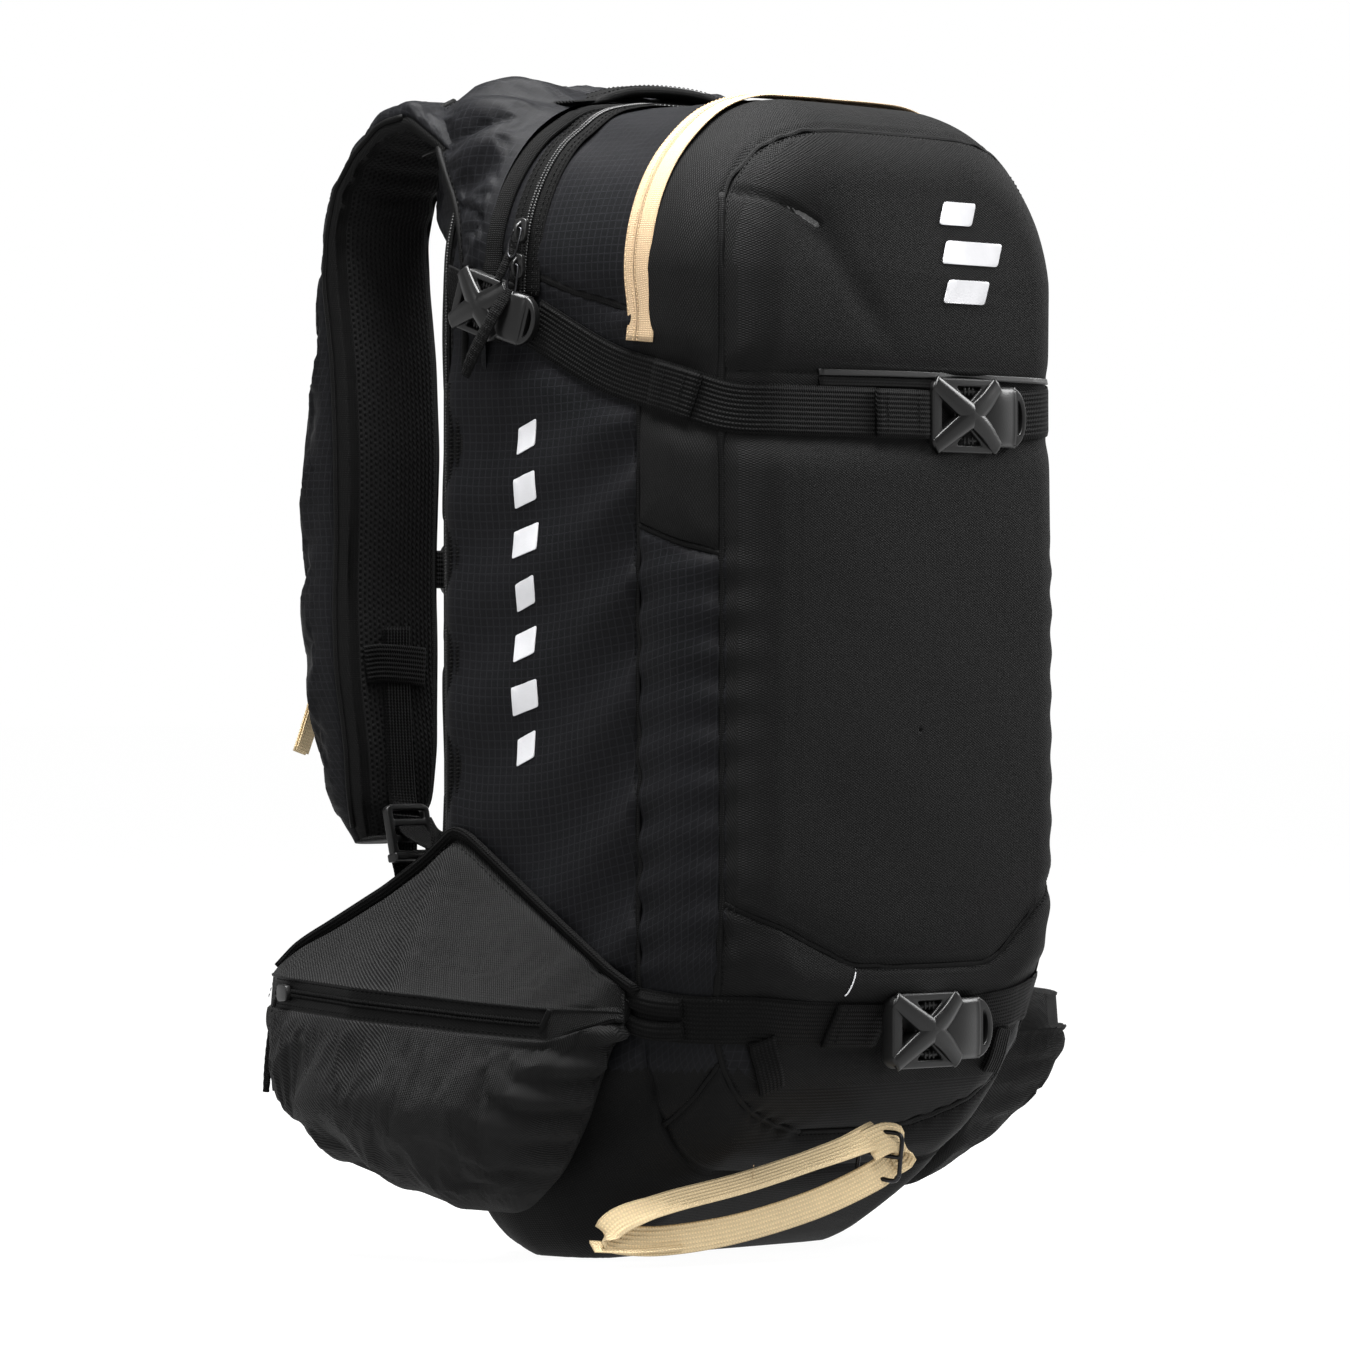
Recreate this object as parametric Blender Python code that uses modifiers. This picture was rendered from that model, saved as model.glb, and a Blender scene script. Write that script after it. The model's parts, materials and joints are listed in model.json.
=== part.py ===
"""Ski touring backpack with an airbag module, built as separate sewn and moulded pieces.

Metres, +Z up. The bag's front faces -Y, its harness is at +Y. The origin is on the floor,
under the middle of the whole pack.
"""
import math

import bmesh
import bpy
from mathutils import Matrix, Vector

# Driving dimensions
HALF_WIDTH = 0.135       # the bag's half width
TOP = 0.590              # top of the bag
BACK = 0.020             # the bag's back plane
SPLIT = -0.111           # plane of the tan zip, between main and front pockets
FRONT = -0.170           # the front face
TOP_RADIUS = 0.090       # top corners, seen from the front
EDGE_RADIUS = 0.035      # front corners, seen from above
FABRIC = 0.004           # fabric with its foam
GAP = 0.0004             # clearance between touching pieces
WEB = 0.0016             # webbing thickness
WEB_WIDTH = 0.025
DOOR_BOTTOM = 0.197      # fold line of the back door
POCKET_FOLD = 0.452      # fold line of the front pocket's top
UPPER_STRAP = 0.429
LOWER_STRAP = 0.117
STERNUM = 0.353
STRAP_X = 0.085          # middle of a shoulder strap
FIN = 0.137              # inner face of a hip fin
HINGE_Y = 0.015          # a hip wing's hinge
ZIP_Y = -0.1055          # middle of the tan zip, just behind the split
MAIN_ZIP_Y = -0.033
BELT_Z = 0.100

for item in list(bpy.data.objects):
    bpy.data.objects.remove(item, do_unlink=True)

pack_parts = bpy.data.collections.new("avalanche_airbag_backpack")
cutters = bpy.data.collections.new("cutters")
bpy.context.scene.collection.children.link(pack_parts)
bpy.context.scene.collection.children.link(cutters)


def material(name, colour, roughness, metallic=0.0):
    made = bpy.data.materials.new(name)
    made.use_nodes = True
    shader = made.node_tree.nodes["Principled BSDF"]
    shader.inputs["Base Color"].default_value = (*colour, 1.0)
    shader.inputs["Roughness"].default_value = roughness
    shader.inputs["Metallic"].default_value = metallic
    return made


RIPSTOP = material("ripstop", (0.020, 0.020, 0.024), 0.6)
BALLISTIC = material("ballistic", (0.030, 0.029, 0.030), 0.75)
FOAM = material("foam", (0.035, 0.035, 0.037), 0.85)
WEBBING = material("webbing", (0.018, 0.018, 0.018), 0.7)
TAN = material("tan", (0.76, 0.60, 0.40), 0.7)
PLASTIC = material("plastic", (0.015, 0.015, 0.016), 0.35)
STEEL = material("steel", (0.25, 0.25, 0.26), 0.35, 1.0)
ALLOY = material("alloy", (0.6, 0.6, 0.62), 0.35, 1.0)
BOARD = material("board", (0.05, 0.05, 0.055), 0.5)
AIRBAG = material("airbag_cloth", (0.75, 0.16, 0.05), 0.6)


def new_object(name, mesh, look):
    made = bpy.data.objects.new(name, mesh)
    made.data.materials.append(look)
    pack_parts.objects.link(made)
    return made


def mesh_of(bm, name):
    bmesh.ops.recalc_face_normals(bm, faces=bm.faces)
    mesh = bpy.data.meshes.new(name)
    bm.to_mesh(mesh)
    bm.free()
    return mesh


def loft(name, rings, look):
    """A closed solid through rings that hold the same number of points."""
    bm = bmesh.new()
    loops = [[bm.verts.new(point) for point in ring] for ring in rings]
    count = len(loops[0])
    for near, far in zip(loops, loops[1:]):
        for i in range(count):
            j = (i + 1) % count
            bm.faces.new((near[i], near[j], far[j], far[i]))
    bm.faces.new(loops[0])
    bm.faces.new(loops[-1])
    return new_object(name, mesh_of(bm, name), look)


def box(name, low, high, look, bevel=0.0):
    bm = bmesh.new()
    size = [high[i] - low[i] for i in range(3)]
    middle = [(high[i] + low[i]) / 2 for i in range(3)]
    bmesh.ops.create_cube(bm, size=1.0)
    bmesh.ops.scale(bm, vec=size, verts=bm.verts)
    bmesh.ops.translate(bm, vec=middle, verts=bm.verts)
    made = new_object(name, mesh_of(bm, name), look)
    if bevel:
        edge = made.modifiers.new("Bevel", "BEVEL")
        edge.width = bevel
        edge.segments = 2
    return made


def strip(name, points, width, look, across=(0, 0, 1), thickness=WEB, outward=1.0):
    """Webbing along points: an open strip of faces, thickened to one side."""
    bm = bmesh.new()
    half = Vector(across).normalized() * width / 2
    rows = [(bm.verts.new(Vector(p) - half), bm.verts.new(Vector(p) + half)) for p in points]
    for (a, b), (c, d) in zip(rows, rows[1:]):
        bm.faces.new((a, b, d, c))
    mesh = bpy.data.meshes.new(name)
    bm.to_mesh(mesh)
    bm.free()
    made = new_object(name, mesh, look)
    thick = made.modifiers.new("Solidify", "SOLIDIFY")
    thick.thickness = thickness
    thick.offset = outward
    thick.use_even_offset = True
    return made


def tube(name, points, radius, look):
    curve = bpy.data.curves.new(name, "CURVE")
    curve.dimensions = "3D"
    curve.bevel_depth = radius
    curve.bevel_resolution = 2
    curve.use_fill_caps = True
    spline = curve.splines.new("POLY")
    spline.points.add(len(points) - 1)
    for knot, point in zip(spline.points, points):
        knot.co = (*point, 1.0)
    made = bpy.data.objects.new(name, curve)
    curve.materials.append(look)
    pack_parts.objects.link(made)
    return made


def solid_from_curve(made):
    """The same tube as a welded mesh, so that it can cut or be cut."""
    bpy.context.view_layer.update()
    evaluated = made.evaluated_get(bpy.context.evaluated_depsgraph_get())
    mesh = bpy.data.meshes.new_from_object(evaluated)
    bm = bmesh.new()
    bm.from_mesh(mesh)
    bmesh.ops.remove_doubles(bm, verts=bm.verts, dist=0.00001)
    bm.to_mesh(mesh)
    bm.free()
    solid = bpy.data.objects.new(made.name, mesh)
    solid.matrix_world = made.matrix_world
    pack_parts.objects.link(solid)
    name = made.name
    bpy.data.objects.remove(made)
    solid.name = name
    return solid


def boolean(target, tool, operation="DIFFERENCE"):
    change = target.modifiers.new("Boolean", "BOOLEAN")
    change.operation = operation
    change.object = tool
    if tool.name not in cutters.objects:
        cutters.objects.link(tool)
        pack_parts.objects.unlink(tool)
    tool.hide_render = True
    tool.display_type = "WIRE"
    return target


def smooth_points(points, steps):
    """Points on a Catmull-Rom curve through the given ones."""
    knots = [Vector(p) for p in points]
    knots = [2 * knots[0] - knots[1]] + knots + [2 * knots[-1] - knots[-2]]
    result = []
    for a, b, c, d in zip(knots, knots[1:], knots[2:], knots[3:]):
        for k in range(steps):
            t = k / steps
            result.append(0.5 * (2 * b + (c - a) * t + (2 * a - 5 * b + 4 * c - d) * t * t
                                 + (3 * b - a - 3 * c + d) * t ** 3))
    return result + [knots[-2]]


# The bag's outline, as arches in planes across Y

BOTTOM_LINE = [(BACK, 0.0), (-0.045, 0.0), (-0.070, 0.018), (-0.111, 0.045), (-0.140, 0.075),
               (-0.160, 0.110), (-0.170, 0.150)]


def along(line, y):
    for (y0, z0), (y1, z1) in zip(line, line[1:]):
        if y >= y1 - 1e-9:
            return z0 + (z1 - z0) * (y - y0) / (y1 - y0)
    return line[-1][1]


def front_fillet(y, radius):
    depth = max(0.0, FRONT + radius - y)
    return radius - math.sqrt(max(0.0, radius ** 2 - depth ** 2))


def arch(y, grow=0.0):
    """One closed section of the bag at depth y, grown outwards by grow."""
    inset = front_fillet(y, EDGE_RADIUS)
    half = HALF_WIDTH - inset + grow
    top = TOP - front_fillet(y, 0.045) + grow
    low = along(BOTTOM_LINE, y) - grow
    corner = TOP_RADIUS - inset
    foot_x = 0.055 - 0.6 * inset
    foot_z = 0.130 - 0.55 * along(BOTTOM_LINE, y)
    ring = []
    for cx, cz, rx, rz, start in ((half - corner, top - corner, corner, corner, 0),
                                  (corner - half, top - corner, corner, corner, 90),
                                  (foot_x - half, low + foot_z, foot_x, foot_z, 180),
                                  (half - foot_x, low + foot_z, foot_x, foot_z, 270)):
        for step in range(6):
            angle = math.radians(start + 18 * step)
            ring.append((cx + rx * math.cos(angle), y, cz + rz * math.sin(angle)))
    return ring


def bag(name, depths, look, grow=0.0):
    return loft(name, [arch(y, grow) for y in depths], look)


REAR_DEPTHS = (BACK, -0.045, -0.070, SPLIT + GAP)
FRONT_DEPTHS = (SPLIT - GAP, -0.135, -0.147, -0.157, -0.165, FRONT)


def build_bag():
    shell = bag("main_shell", REAR_DEPTHS, RIPSTOP)
    inner = bag("main_hollow", (BACK - FABRIC, -0.045, -0.070, SPLIT + FABRIC), RIPSTOP, -FABRIC)
    boolean(shell, inner)
    opening = box("door_opening", (-0.112, BACK - 0.01, 0.205), (0.112, BACK + 0.01, 0.552), RIPSTOP)
    boolean(shell, opening)
    hollow_depths = (SPLIT + 0.002, -0.135, -0.147, -0.157, FRONT + FABRIC)
    for name, low, high in (("front_pocket_lower", 0.0, POCKET_FOLD),
                            ("front_pocket_top", POCKET_FOLD + GAP, 0.7)):
        pocket = bag(name, FRONT_DEPTHS, BALLISTIC)
        boolean(pocket, bag(name + "_hollow", hollow_depths, BALLISTIC, -FABRIC))
        keep = box(name + "_keep", (-0.3, -0.3, low), (0.3, 0.0, high), BALLISTIC)
        boolean(pocket, keep, "INTERSECT")


def arch_path(y, grow, low_left, low_right):
    """Points over the top of the bag at depth y, from low_left to low_right in height."""
    half = HALF_WIDTH + grow
    top = TOP - front_fillet(y, 0.045) + grow
    centre_x = half - TOP_RADIUS
    centre_z = top - TOP_RADIUS
    arc = [180 - 18 * k for k in range(6)]
    left = [(-centre_x + TOP_RADIUS * math.cos(math.radians(a)), y,
             centre_z + TOP_RADIUS * math.sin(math.radians(a))) for a in arc]
    right = [(-x, y, z) for x, y, z in reversed(left)]
    return [(-half, y, low_left)] + left + right + [(half, y, low_right)]


def build_zips():
    strip("main_zip", arch_path(MAIN_ZIP_Y, GAP, 0.494, 0.494), 0.008, WEBBING, (0, 1, 0), 0.0018, -1)
    strip("front_zip", arch_path(ZIP_Y, GAP, 0.464, 0.464), 0.010, TAN, (0, 1, 0), 0.0018, -1)
    for name, angle in (("main_zip_slider_lower", 178), ("main_zip_slider_upper", 167)):
        slider(name, MAIN_ZIP_Y, angle)
    slider("front_zip_slider", ZIP_Y, 8)


def slider(name, y, angle):
    """A zip slider parked on the corner arc of an arched zip."""
    radius = TOP_RADIUS + 0.0026
    made = box(name, (radius, y - 0.0045, -0.007), (radius + 0.004, y + 0.0045, 0.007), PLASTIC, 0.001)
    side = 1 if angle < 90 else -1
    spin = Matrix.Rotation(-math.radians(angle), 4, "Y")
    made.data.transform(Matrix.Translation((0, -y, 0)))
    made.data.transform(spin)
    made.location = (side * (HALF_WIDTH - TOP_RADIUS), y, TOP - TOP_RADIUS)


def build_door():
    panel = bag("back_panel", (0.043, BACK + GAP), FOAM, -0.010)
    boolean(panel, box("back_panel_keep", (-0.2, 0.0, DOOR_BOTTOM), (0.2, 0.1, 0.7), FOAM), "INTERSECT")
    boolean(panel, cable_channel("panel_channel"))
    box("framesheet", (-0.105, 0.0165, 0.215), (0.105, 0.0185, 0.534), BOARD)
    for side, name in ((-1, "left_stay"), (1, "right_stay")):
        box(name, (side * 0.05 - 0.006, 0.0128, 0.22), (side * 0.05 + 0.006, 0.0162, 0.530), ALLOY)
    box("yoke", (-0.125, 0.0434, 0.470), (0.125, 0.066, 0.542), RIPSTOP, 0.008)


STRAP_LINE = [(0.0436, 0.5540), (0.060, 0.5660), (0.080, 0.5700), (0.100, 0.5600), (0.115, 0.5350),
              (0.121, 0.490), (0.120, 0.430), (0.115, 0.360), (0.107, 0.295), (0.098, 0.235)]
STRAP_HALF = [0.0050, 0.0060, 0.0060, 0.0060, 0.0060, 0.0065, 0.0075, 0.0075, 0.0075, 0.0060]
STRAP_WIDTH = [0.060, 0.062, 0.064, 0.066, 0.068, 0.070, 0.070, 0.068, 0.064, 0.052]


def shoulder_strap(name, side):
    rings = []
    line = [Vector((side * STRAP_X, y, z)) for y, z in STRAP_LINE]
    for i, point in enumerate(line):
        before = line[max(i - 1, 0)]
        after = line[min(i + 1, len(line) - 1)]
        run = (after - before).normalized() if i else Vector((0, 1, 0))
        outward = Vector((side, 0, 0)).cross(run).normalized() * STRAP_HALF[i]
        half = Vector((STRAP_WIDTH[i] / 2, 0, 0))
        soft = half * 0.86
        rings.append([point - half, point - soft + outward, point + soft + outward,
                      point + half, point + soft - outward, point - soft - outward])
    return loft(name, rings, FOAM)


def cable_route():
    module = [(0.0815, -0.006, 0.4410), (0.072, -0.005, 0.4440), (0.045, -0.004, 0.4445),
              (-0.060, -0.002, 0.4450), (-0.085, 0.004, 0.4530), (-0.094, 0.0125, 0.480),
              (-0.094, 0.0128, 0.520), (-0.091, 0.0140, 0.5420), (-0.086, 0.0240, 0.5485),
              (-STRAP_X, 0.0340, 0.5495)]
    strap = [(-STRAP_X, y, z) for y, z in STRAP_LINE[:6]]
    sleeve = [(-STRAP_X, 0.1220, 0.4900), (-STRAP_X, 0.1280, 0.4660), (-STRAP_X, 0.1400, 0.4475)]
    return smooth_points(module + strap + sleeve, 4)


def cable_channel(name):
    made = tube(name, cable_route(), 0.0026, RIPSTOP)
    return solid_from_curve(made)


def build_harness():
    left = shoulder_strap("left_shoulder_strap", -1)
    shoulder_strap("right_shoulder_strap", 1)
    boolean(left, cable_channel("strap_channel"))
    sleeve = box("strap_sleeve", (-STRAP_X - 0.027, 0.1290, 0.300), (-STRAP_X + 0.027, 0.1590, 0.470),
                 RIPSTOP, 0.006)
    boolean(sleeve, box("sleeve_hollow", (-STRAP_X - 0.0245, 0.1315, 0.29),
                        (-STRAP_X + 0.0245, 0.1565, 0.467), RIPSTOP))
    boolean(sleeve, cable_channel("sleeve_channel"))
    handle = box("trigger_handle", (-STRAP_X - 0.018, 0.1345, 0.345), (-STRAP_X + 0.018, 0.1515, 0.445),
                 PLASTIC, 0.004)
    handle.data.transform(Matrix.Translation((STRAP_X, -0.143, -0.345)))
    handle.location = (-STRAP_X, 0.143, 0.345)
    box("sleeve_pull", (-STRAP_X - 0.010, 0.1594, 0.262), (-STRAP_X + 0.010, 0.1616, 0.300), TAN)
    for side, word in ((-1, "left"), (1, "right")):
        x = side * 0.092
        box(word + "_strap_adjuster", (x - 0.016, 0.0850, 0.1985), (x + 0.016, 0.0930, 0.2280), PLASTIC,
            0.0015)
        strip(word + "_strap_webbing", [(x, 0.0434, 0.2080), (x, 0.0620, 0.2100), (x, 0.0845, 0.2140)],
              0.020, WEBBING, (1, 0, 0))


def build_sternum():
    inner = STRAP_X - 0.034
    y = 0.1300
    strip("sternum_webbing_left", [(-inner - 0.005, y, STERNUM), (-0.0165, y, STERNUM)], 0.020, WEBBING)
    strip("sternum_webbing_right", [(inner + 0.005, y, STERNUM), (0.012, y, STERNUM)], 0.020, WEBBING,
          (0, 0, 1), WEB, -1)
    side_buckle_pair("sternum_buckle", Vector((-0.016, y + 0.0055, STERNUM)), Vector((1, 0, 0)),
                     Vector((0, 0, 1)), 0.030, 0.016, 0.024)


def side_buckle_pair(name, start, run, across, body, tongue, width):
    """Side-release buckle: a slotted body and a tongue whose prongs slide out along run."""
    normal = run.cross(across).normalized()

    def block(label, along_0, along_1, wide, thick, look, bevel=0.0):
        made = box(label, (along_0, -wide / 2, -thick / 2), (along_1, wide / 2, thick / 2), look, bevel)
        frame = Matrix((run, across, normal)).transposed().to_4x4()
        made.data.transform(frame)
        made.location = start
        return made

    shell = block(name + "_body", 0, body, width, 0.0076, PLASTIC, 0.0012)
    boolean(shell, block(name + "_socket", body * 0.45, body + 0.01, width - 0.008, 0.0036, PLASTIC))
    tip = block(name + "_tongue", body + GAP, body + tongue, width, 0.0072, PLASTIC, 0.0012)
    prongs = block(name + "_prongs", body * 0.5, body + 0.004, width - 0.010, 0.0026, PLASTIC)
    boolean(tip, prongs, "UNION")
    tip.data.transform(Matrix.Translation(-run * body))
    tip.location = start + run * body
    prongs.data.transform(Matrix.Translation(-run * body))
    prongs.location = tip.location


def corner_route(side, height, height_back, back_y, end_x):
    """A compression strap's path from the side of the bag, round the corner, along the front."""
    out = HALF_WIDTH + GAP
    front = FRONT - GAP
    radius = EDGE_RADIUS + GAP
    centre = (side * (HALF_WIDTH - EDGE_RADIUS), FRONT + EDGE_RADIUS)
    points = [Vector((side * out, back_y, height_back))]
    if height_back != height:
        points.append(Vector((side * out, (back_y + centre[1]) / 2, (height + height_back) / 2)))
    for k in range(7):
        angle = math.radians(15 * k)
        points.append(Vector((centre[0] + side * radius * math.cos(angle),
                              centre[1] - radius * math.sin(angle), height + 0.01 * (1 - k / 6)
                              if height_back != height else height)))
    points.append(Vector((end_x, front, height)))
    return points


def build_compression():
    for level, height, back_height, back_y, start, body, tongue in (
            ("upper", UPPER_STRAP, 0.472, -0.048, 0.011, 0.053, 0.022),
            ("lower", LOWER_STRAP, LOWER_STRAP, -0.126, -0.020, 0.053, 0.027)):
        strip(level + "_strap_left", corner_route(-1, height, back_height, back_y, start - GAP), WEB_WIDTH,
              WEBBING, (0, 0, 1), WEB, -1)
        strip(level + "_strap_right", corner_route(1, height, back_height, back_y, start + body + 0.006),
              WEB_WIDTH, WEBBING)
        y = FRONT - GAP - WEB - 0.0045
        side_buckle_pair(level + "_buckle", Vector((start, y, height)), Vector((1, 0, 0)),
                         Vector((0, 0, 1)), body, tongue, 0.036)
    for side, word in ((-1, "left"), (1, "right")):
        x = side * (HALF_WIDTH + GAP + WEB + 0.0045)
        side_buckle_pair(word + "_side_buckle", Vector((x, 0.006, 0.490)), Vector((0, -0.951, -0.309)),
                         Vector((0, -0.309, 0.951)), 0.034, 0.018, 0.030)


FIN_LINE = [(-0.120, 0.075, 0.142, 0.012), (-0.085, 0.030, 0.157, 0.036), (-0.040, 0.019, 0.186, 0.048),
            (0.000, 0.018, 0.208, 0.050), (0.024, 0.018, 0.213, 0.050), (0.065, 0.024, 0.191, 0.045),
            (0.105, 0.042, 0.167, 0.030), (0.130, 0.075, 0.150, 0.014)]


def fin(name, side, sections, look):
    rings = []
    for y, low, high, bulge in sections:
        middle = low + (high - low) * 0.42
        rings.append([(side * FIN, y, low + 0.006), (side * (FIN + 0.010), y, low),
                      (side * (FIN + bulge * 0.75), y, low + 0.012), (side * (FIN + 0.012 + bulge), y, middle),
                      (side * (FIN + 0.008 + bulge * 0.8), y, low + (high - low) * 0.66),
                      (side * (FIN + 0.010), y, high - 0.004), (side * FIN, y, high)])
    return loft(name, rings, look)


def build_hip():
    box("lumbar_pad", (-0.105, BACK + GAP, 0.030), (0.105, 0.046, 0.168), FOAM, 0.006)
    for side, word in ((-1, "left"), (1, "right")):
        fin(word + "_hip_stabiliser", side, FIN_LINE[:4], BALLISTIC)
        wing = fin(word + "_wing", side, FIN_LINE[4:], BALLISTIC)
        pivot = Vector((side * (FIN + 0.003), HINGE_Y, 0.1))
        wing.data.transform(Matrix.Translation(-pivot))
        wing.location = pivot
        x = side * (FIN + 0.027)
        box(word + "_pocket_slider", (x - 0.003, 0.100, 0.148), (x + 0.003, 0.110, 0.156), PLASTIC, 0.001)
        belt = [(side * 0.1445, 0.1304, BELT_Z), (side * 0.1440, 0.1370, BELT_Z),
                (side * 0.1400, 0.1410, BELT_Z), (side * 0.1345, 0.1390, BELT_Z),
                (side * 0.1320, 0.1320, BELT_Z), (side * 0.1310, 0.0980, BELT_Z)]
        strip(word + "_belt_webbing", belt, 0.038, WEBBING, (0, 0, 1), WEB, side)
    box("hip_buckle_male", (-0.1340, 0.052, 0.078), (-0.1262, 0.0976, 0.122), PLASTIC, 0.0015)
    box("hip_buckle_female", (0.1262, 0.052, 0.078), (0.1340, 0.0976, 0.122), PLASTIC, 0.0015)


def build_airbag():
    box("airbag_folded", (-0.084, -0.040, 0.456), (0.096, 0.0090, 0.530), AIRBAG, 0.010)
    bm = bmesh.new()
    bmesh.ops.create_cone(bm, cap_ends=True, segments=20, radius1=0.024, radius2=0.024, depth=0.185)
    cartridge = new_object("gas_cartridge", mesh_of(bm, "gas_cartridge"), STEEL)
    cartridge.location = (0.060, -0.015, 0.3100)
    bm = bmesh.new()
    bmesh.ops.create_cone(bm, cap_ends=True, segments=16, radius1=0.018, radius2=0.014, depth=0.0260)
    inflator = new_object("inflator_body", mesh_of(bm, "inflator_body"), ALLOY)
    inflator.location = (0.060, -0.015, 0.4160)
    lever = box("trigger_lever", (-0.0020, -0.0060, -0.0040), (0.0020, 0.0180, 0.0100), ALLOY)
    lever.location = (0.0815, -0.0150, 0.4160)
    tube("trigger_cable", cable_route(), 0.0015, STEEL)


def build_loops():
    strip("haul_loop", smooth_points([(-0.060, 0.002, TOP + GAP), (-0.052, 0.002, TOP + 0.0040),
                                      (-0.030, 0.002, TOP + 0.0095), (0.0, 0.002, TOP + 0.0110),
                                      (0.030, 0.002, TOP + 0.0095), (0.052, 0.002, TOP + 0.0040),
                                      (0.060, 0.002, TOP + GAP)], 2), 0.022, WEBBING, (0, 1, 0), WEB, -1)
    hook = [(0.004, -0.150, 0.0640), (-0.030, -0.1440, 0.0540), (-0.075, -0.1260, 0.0380),
            (-0.112, -0.1060, 0.0240), (-0.130, -0.0940, 0.0150), (-0.131, -0.0920, 0.0060),
            (-0.112, -0.1020, 0.0040), (-0.075, -0.1220, 0.0140), (-0.030, -0.1420, 0.0320),
            (-0.004, -0.1500, 0.0420)]
    strip("ski_loop", smooth_points(hook, 2), 0.020, TAN, (0.35, 0.93, 0.0), WEB, 1)
    box("ski_loop_glide", (0.0010, -0.1640, 0.0380), (0.0060, -0.1360, 0.0500), STEEL, 0.001)


build_bag()
build_zips()
build_door()
build_harness()
build_sternum()
build_compression()
build_hip()
build_airbag()
build_loops()
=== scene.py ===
"""Looks of the avalanche airbag backpack: fabric, webbing, zips, buckles, camera and light.

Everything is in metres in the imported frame: -Y is the bag's front, +Y the wearer's side.
"""
import json
import math

import bmesh
import bpy
import numpy as np
from mathutils import Matrix, Vector
from mathutils.bvhtree import BVHTree

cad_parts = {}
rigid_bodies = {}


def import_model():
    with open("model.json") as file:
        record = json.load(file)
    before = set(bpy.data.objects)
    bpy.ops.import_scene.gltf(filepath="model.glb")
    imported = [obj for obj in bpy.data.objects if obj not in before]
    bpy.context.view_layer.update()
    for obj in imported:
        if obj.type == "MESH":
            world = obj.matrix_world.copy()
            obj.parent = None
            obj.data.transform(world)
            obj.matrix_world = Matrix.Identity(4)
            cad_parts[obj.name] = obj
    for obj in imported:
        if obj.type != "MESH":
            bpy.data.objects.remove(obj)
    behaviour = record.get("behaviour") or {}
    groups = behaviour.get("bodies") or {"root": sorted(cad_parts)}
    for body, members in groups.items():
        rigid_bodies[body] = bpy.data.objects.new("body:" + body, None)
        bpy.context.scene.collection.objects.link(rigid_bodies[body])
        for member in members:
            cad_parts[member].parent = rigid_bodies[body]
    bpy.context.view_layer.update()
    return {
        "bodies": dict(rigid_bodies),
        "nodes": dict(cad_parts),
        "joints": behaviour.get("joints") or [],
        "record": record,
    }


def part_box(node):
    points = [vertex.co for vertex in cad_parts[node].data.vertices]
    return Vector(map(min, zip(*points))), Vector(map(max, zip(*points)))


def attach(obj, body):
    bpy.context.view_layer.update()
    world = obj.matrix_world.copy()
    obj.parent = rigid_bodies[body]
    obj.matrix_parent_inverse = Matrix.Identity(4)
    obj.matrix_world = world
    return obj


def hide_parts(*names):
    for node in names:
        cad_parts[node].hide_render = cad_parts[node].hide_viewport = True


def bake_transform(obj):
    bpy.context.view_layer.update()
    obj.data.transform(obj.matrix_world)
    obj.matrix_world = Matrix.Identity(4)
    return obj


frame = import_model()


def centre_of(node, axis):
    """The middle of a CAD node's box along one axis."""
    return sum(corner[axis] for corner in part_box(node)) / 2


# Positions and sizes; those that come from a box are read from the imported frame
SHELL_LOW, SHELL_HIGH = (Vector(c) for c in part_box("main_shell"))
POCKET_LOW, POCKET_HIGH = (Vector(c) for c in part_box("front_pocket_lower"))
HALF = SHELL_HIGH.x
TOP = SHELL_HIGH.z
BACK = SHELL_HIGH.y
SPLIT = SHELL_LOW.y
FRONT = POCKET_LOW.y
TOP_RADIUS = 0.090              # the two top corners, seen from the front
EDGE = 0.035                    # rounding of the front's side edges
TOP_EDGE = 0.045                # rounding of the front's top edge
WEB = 0.0016                    # thickness of the webbing
WEB_WIDTH = 0.025               # width of the compression webbing
STRAP_WEB = 0.020               # width of the harness webbing
MAIN_ZIP_Y = centre_of("main_zip", 1)
UPPER_Z = centre_of("upper_buckle_body", 2)
LOWER_Z = centre_of("lower_buckle_body", 2)
STERNUM_Z = centre_of("sternum_buckle_body", 2)
BACK_ROUND = 0.008              # radius of the bag's rear edge
BAG_MIDDLE = (0.0, -0.06, 0.3)  # every panel faces away from here
MAIN_ZIP_FOOT = 0.487           # height at which the main zip ends on each side
TAN_ZIP_FOOT = 0.450            # the same for the tan zip

# ---------------------------------------------------------------- materials

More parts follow.
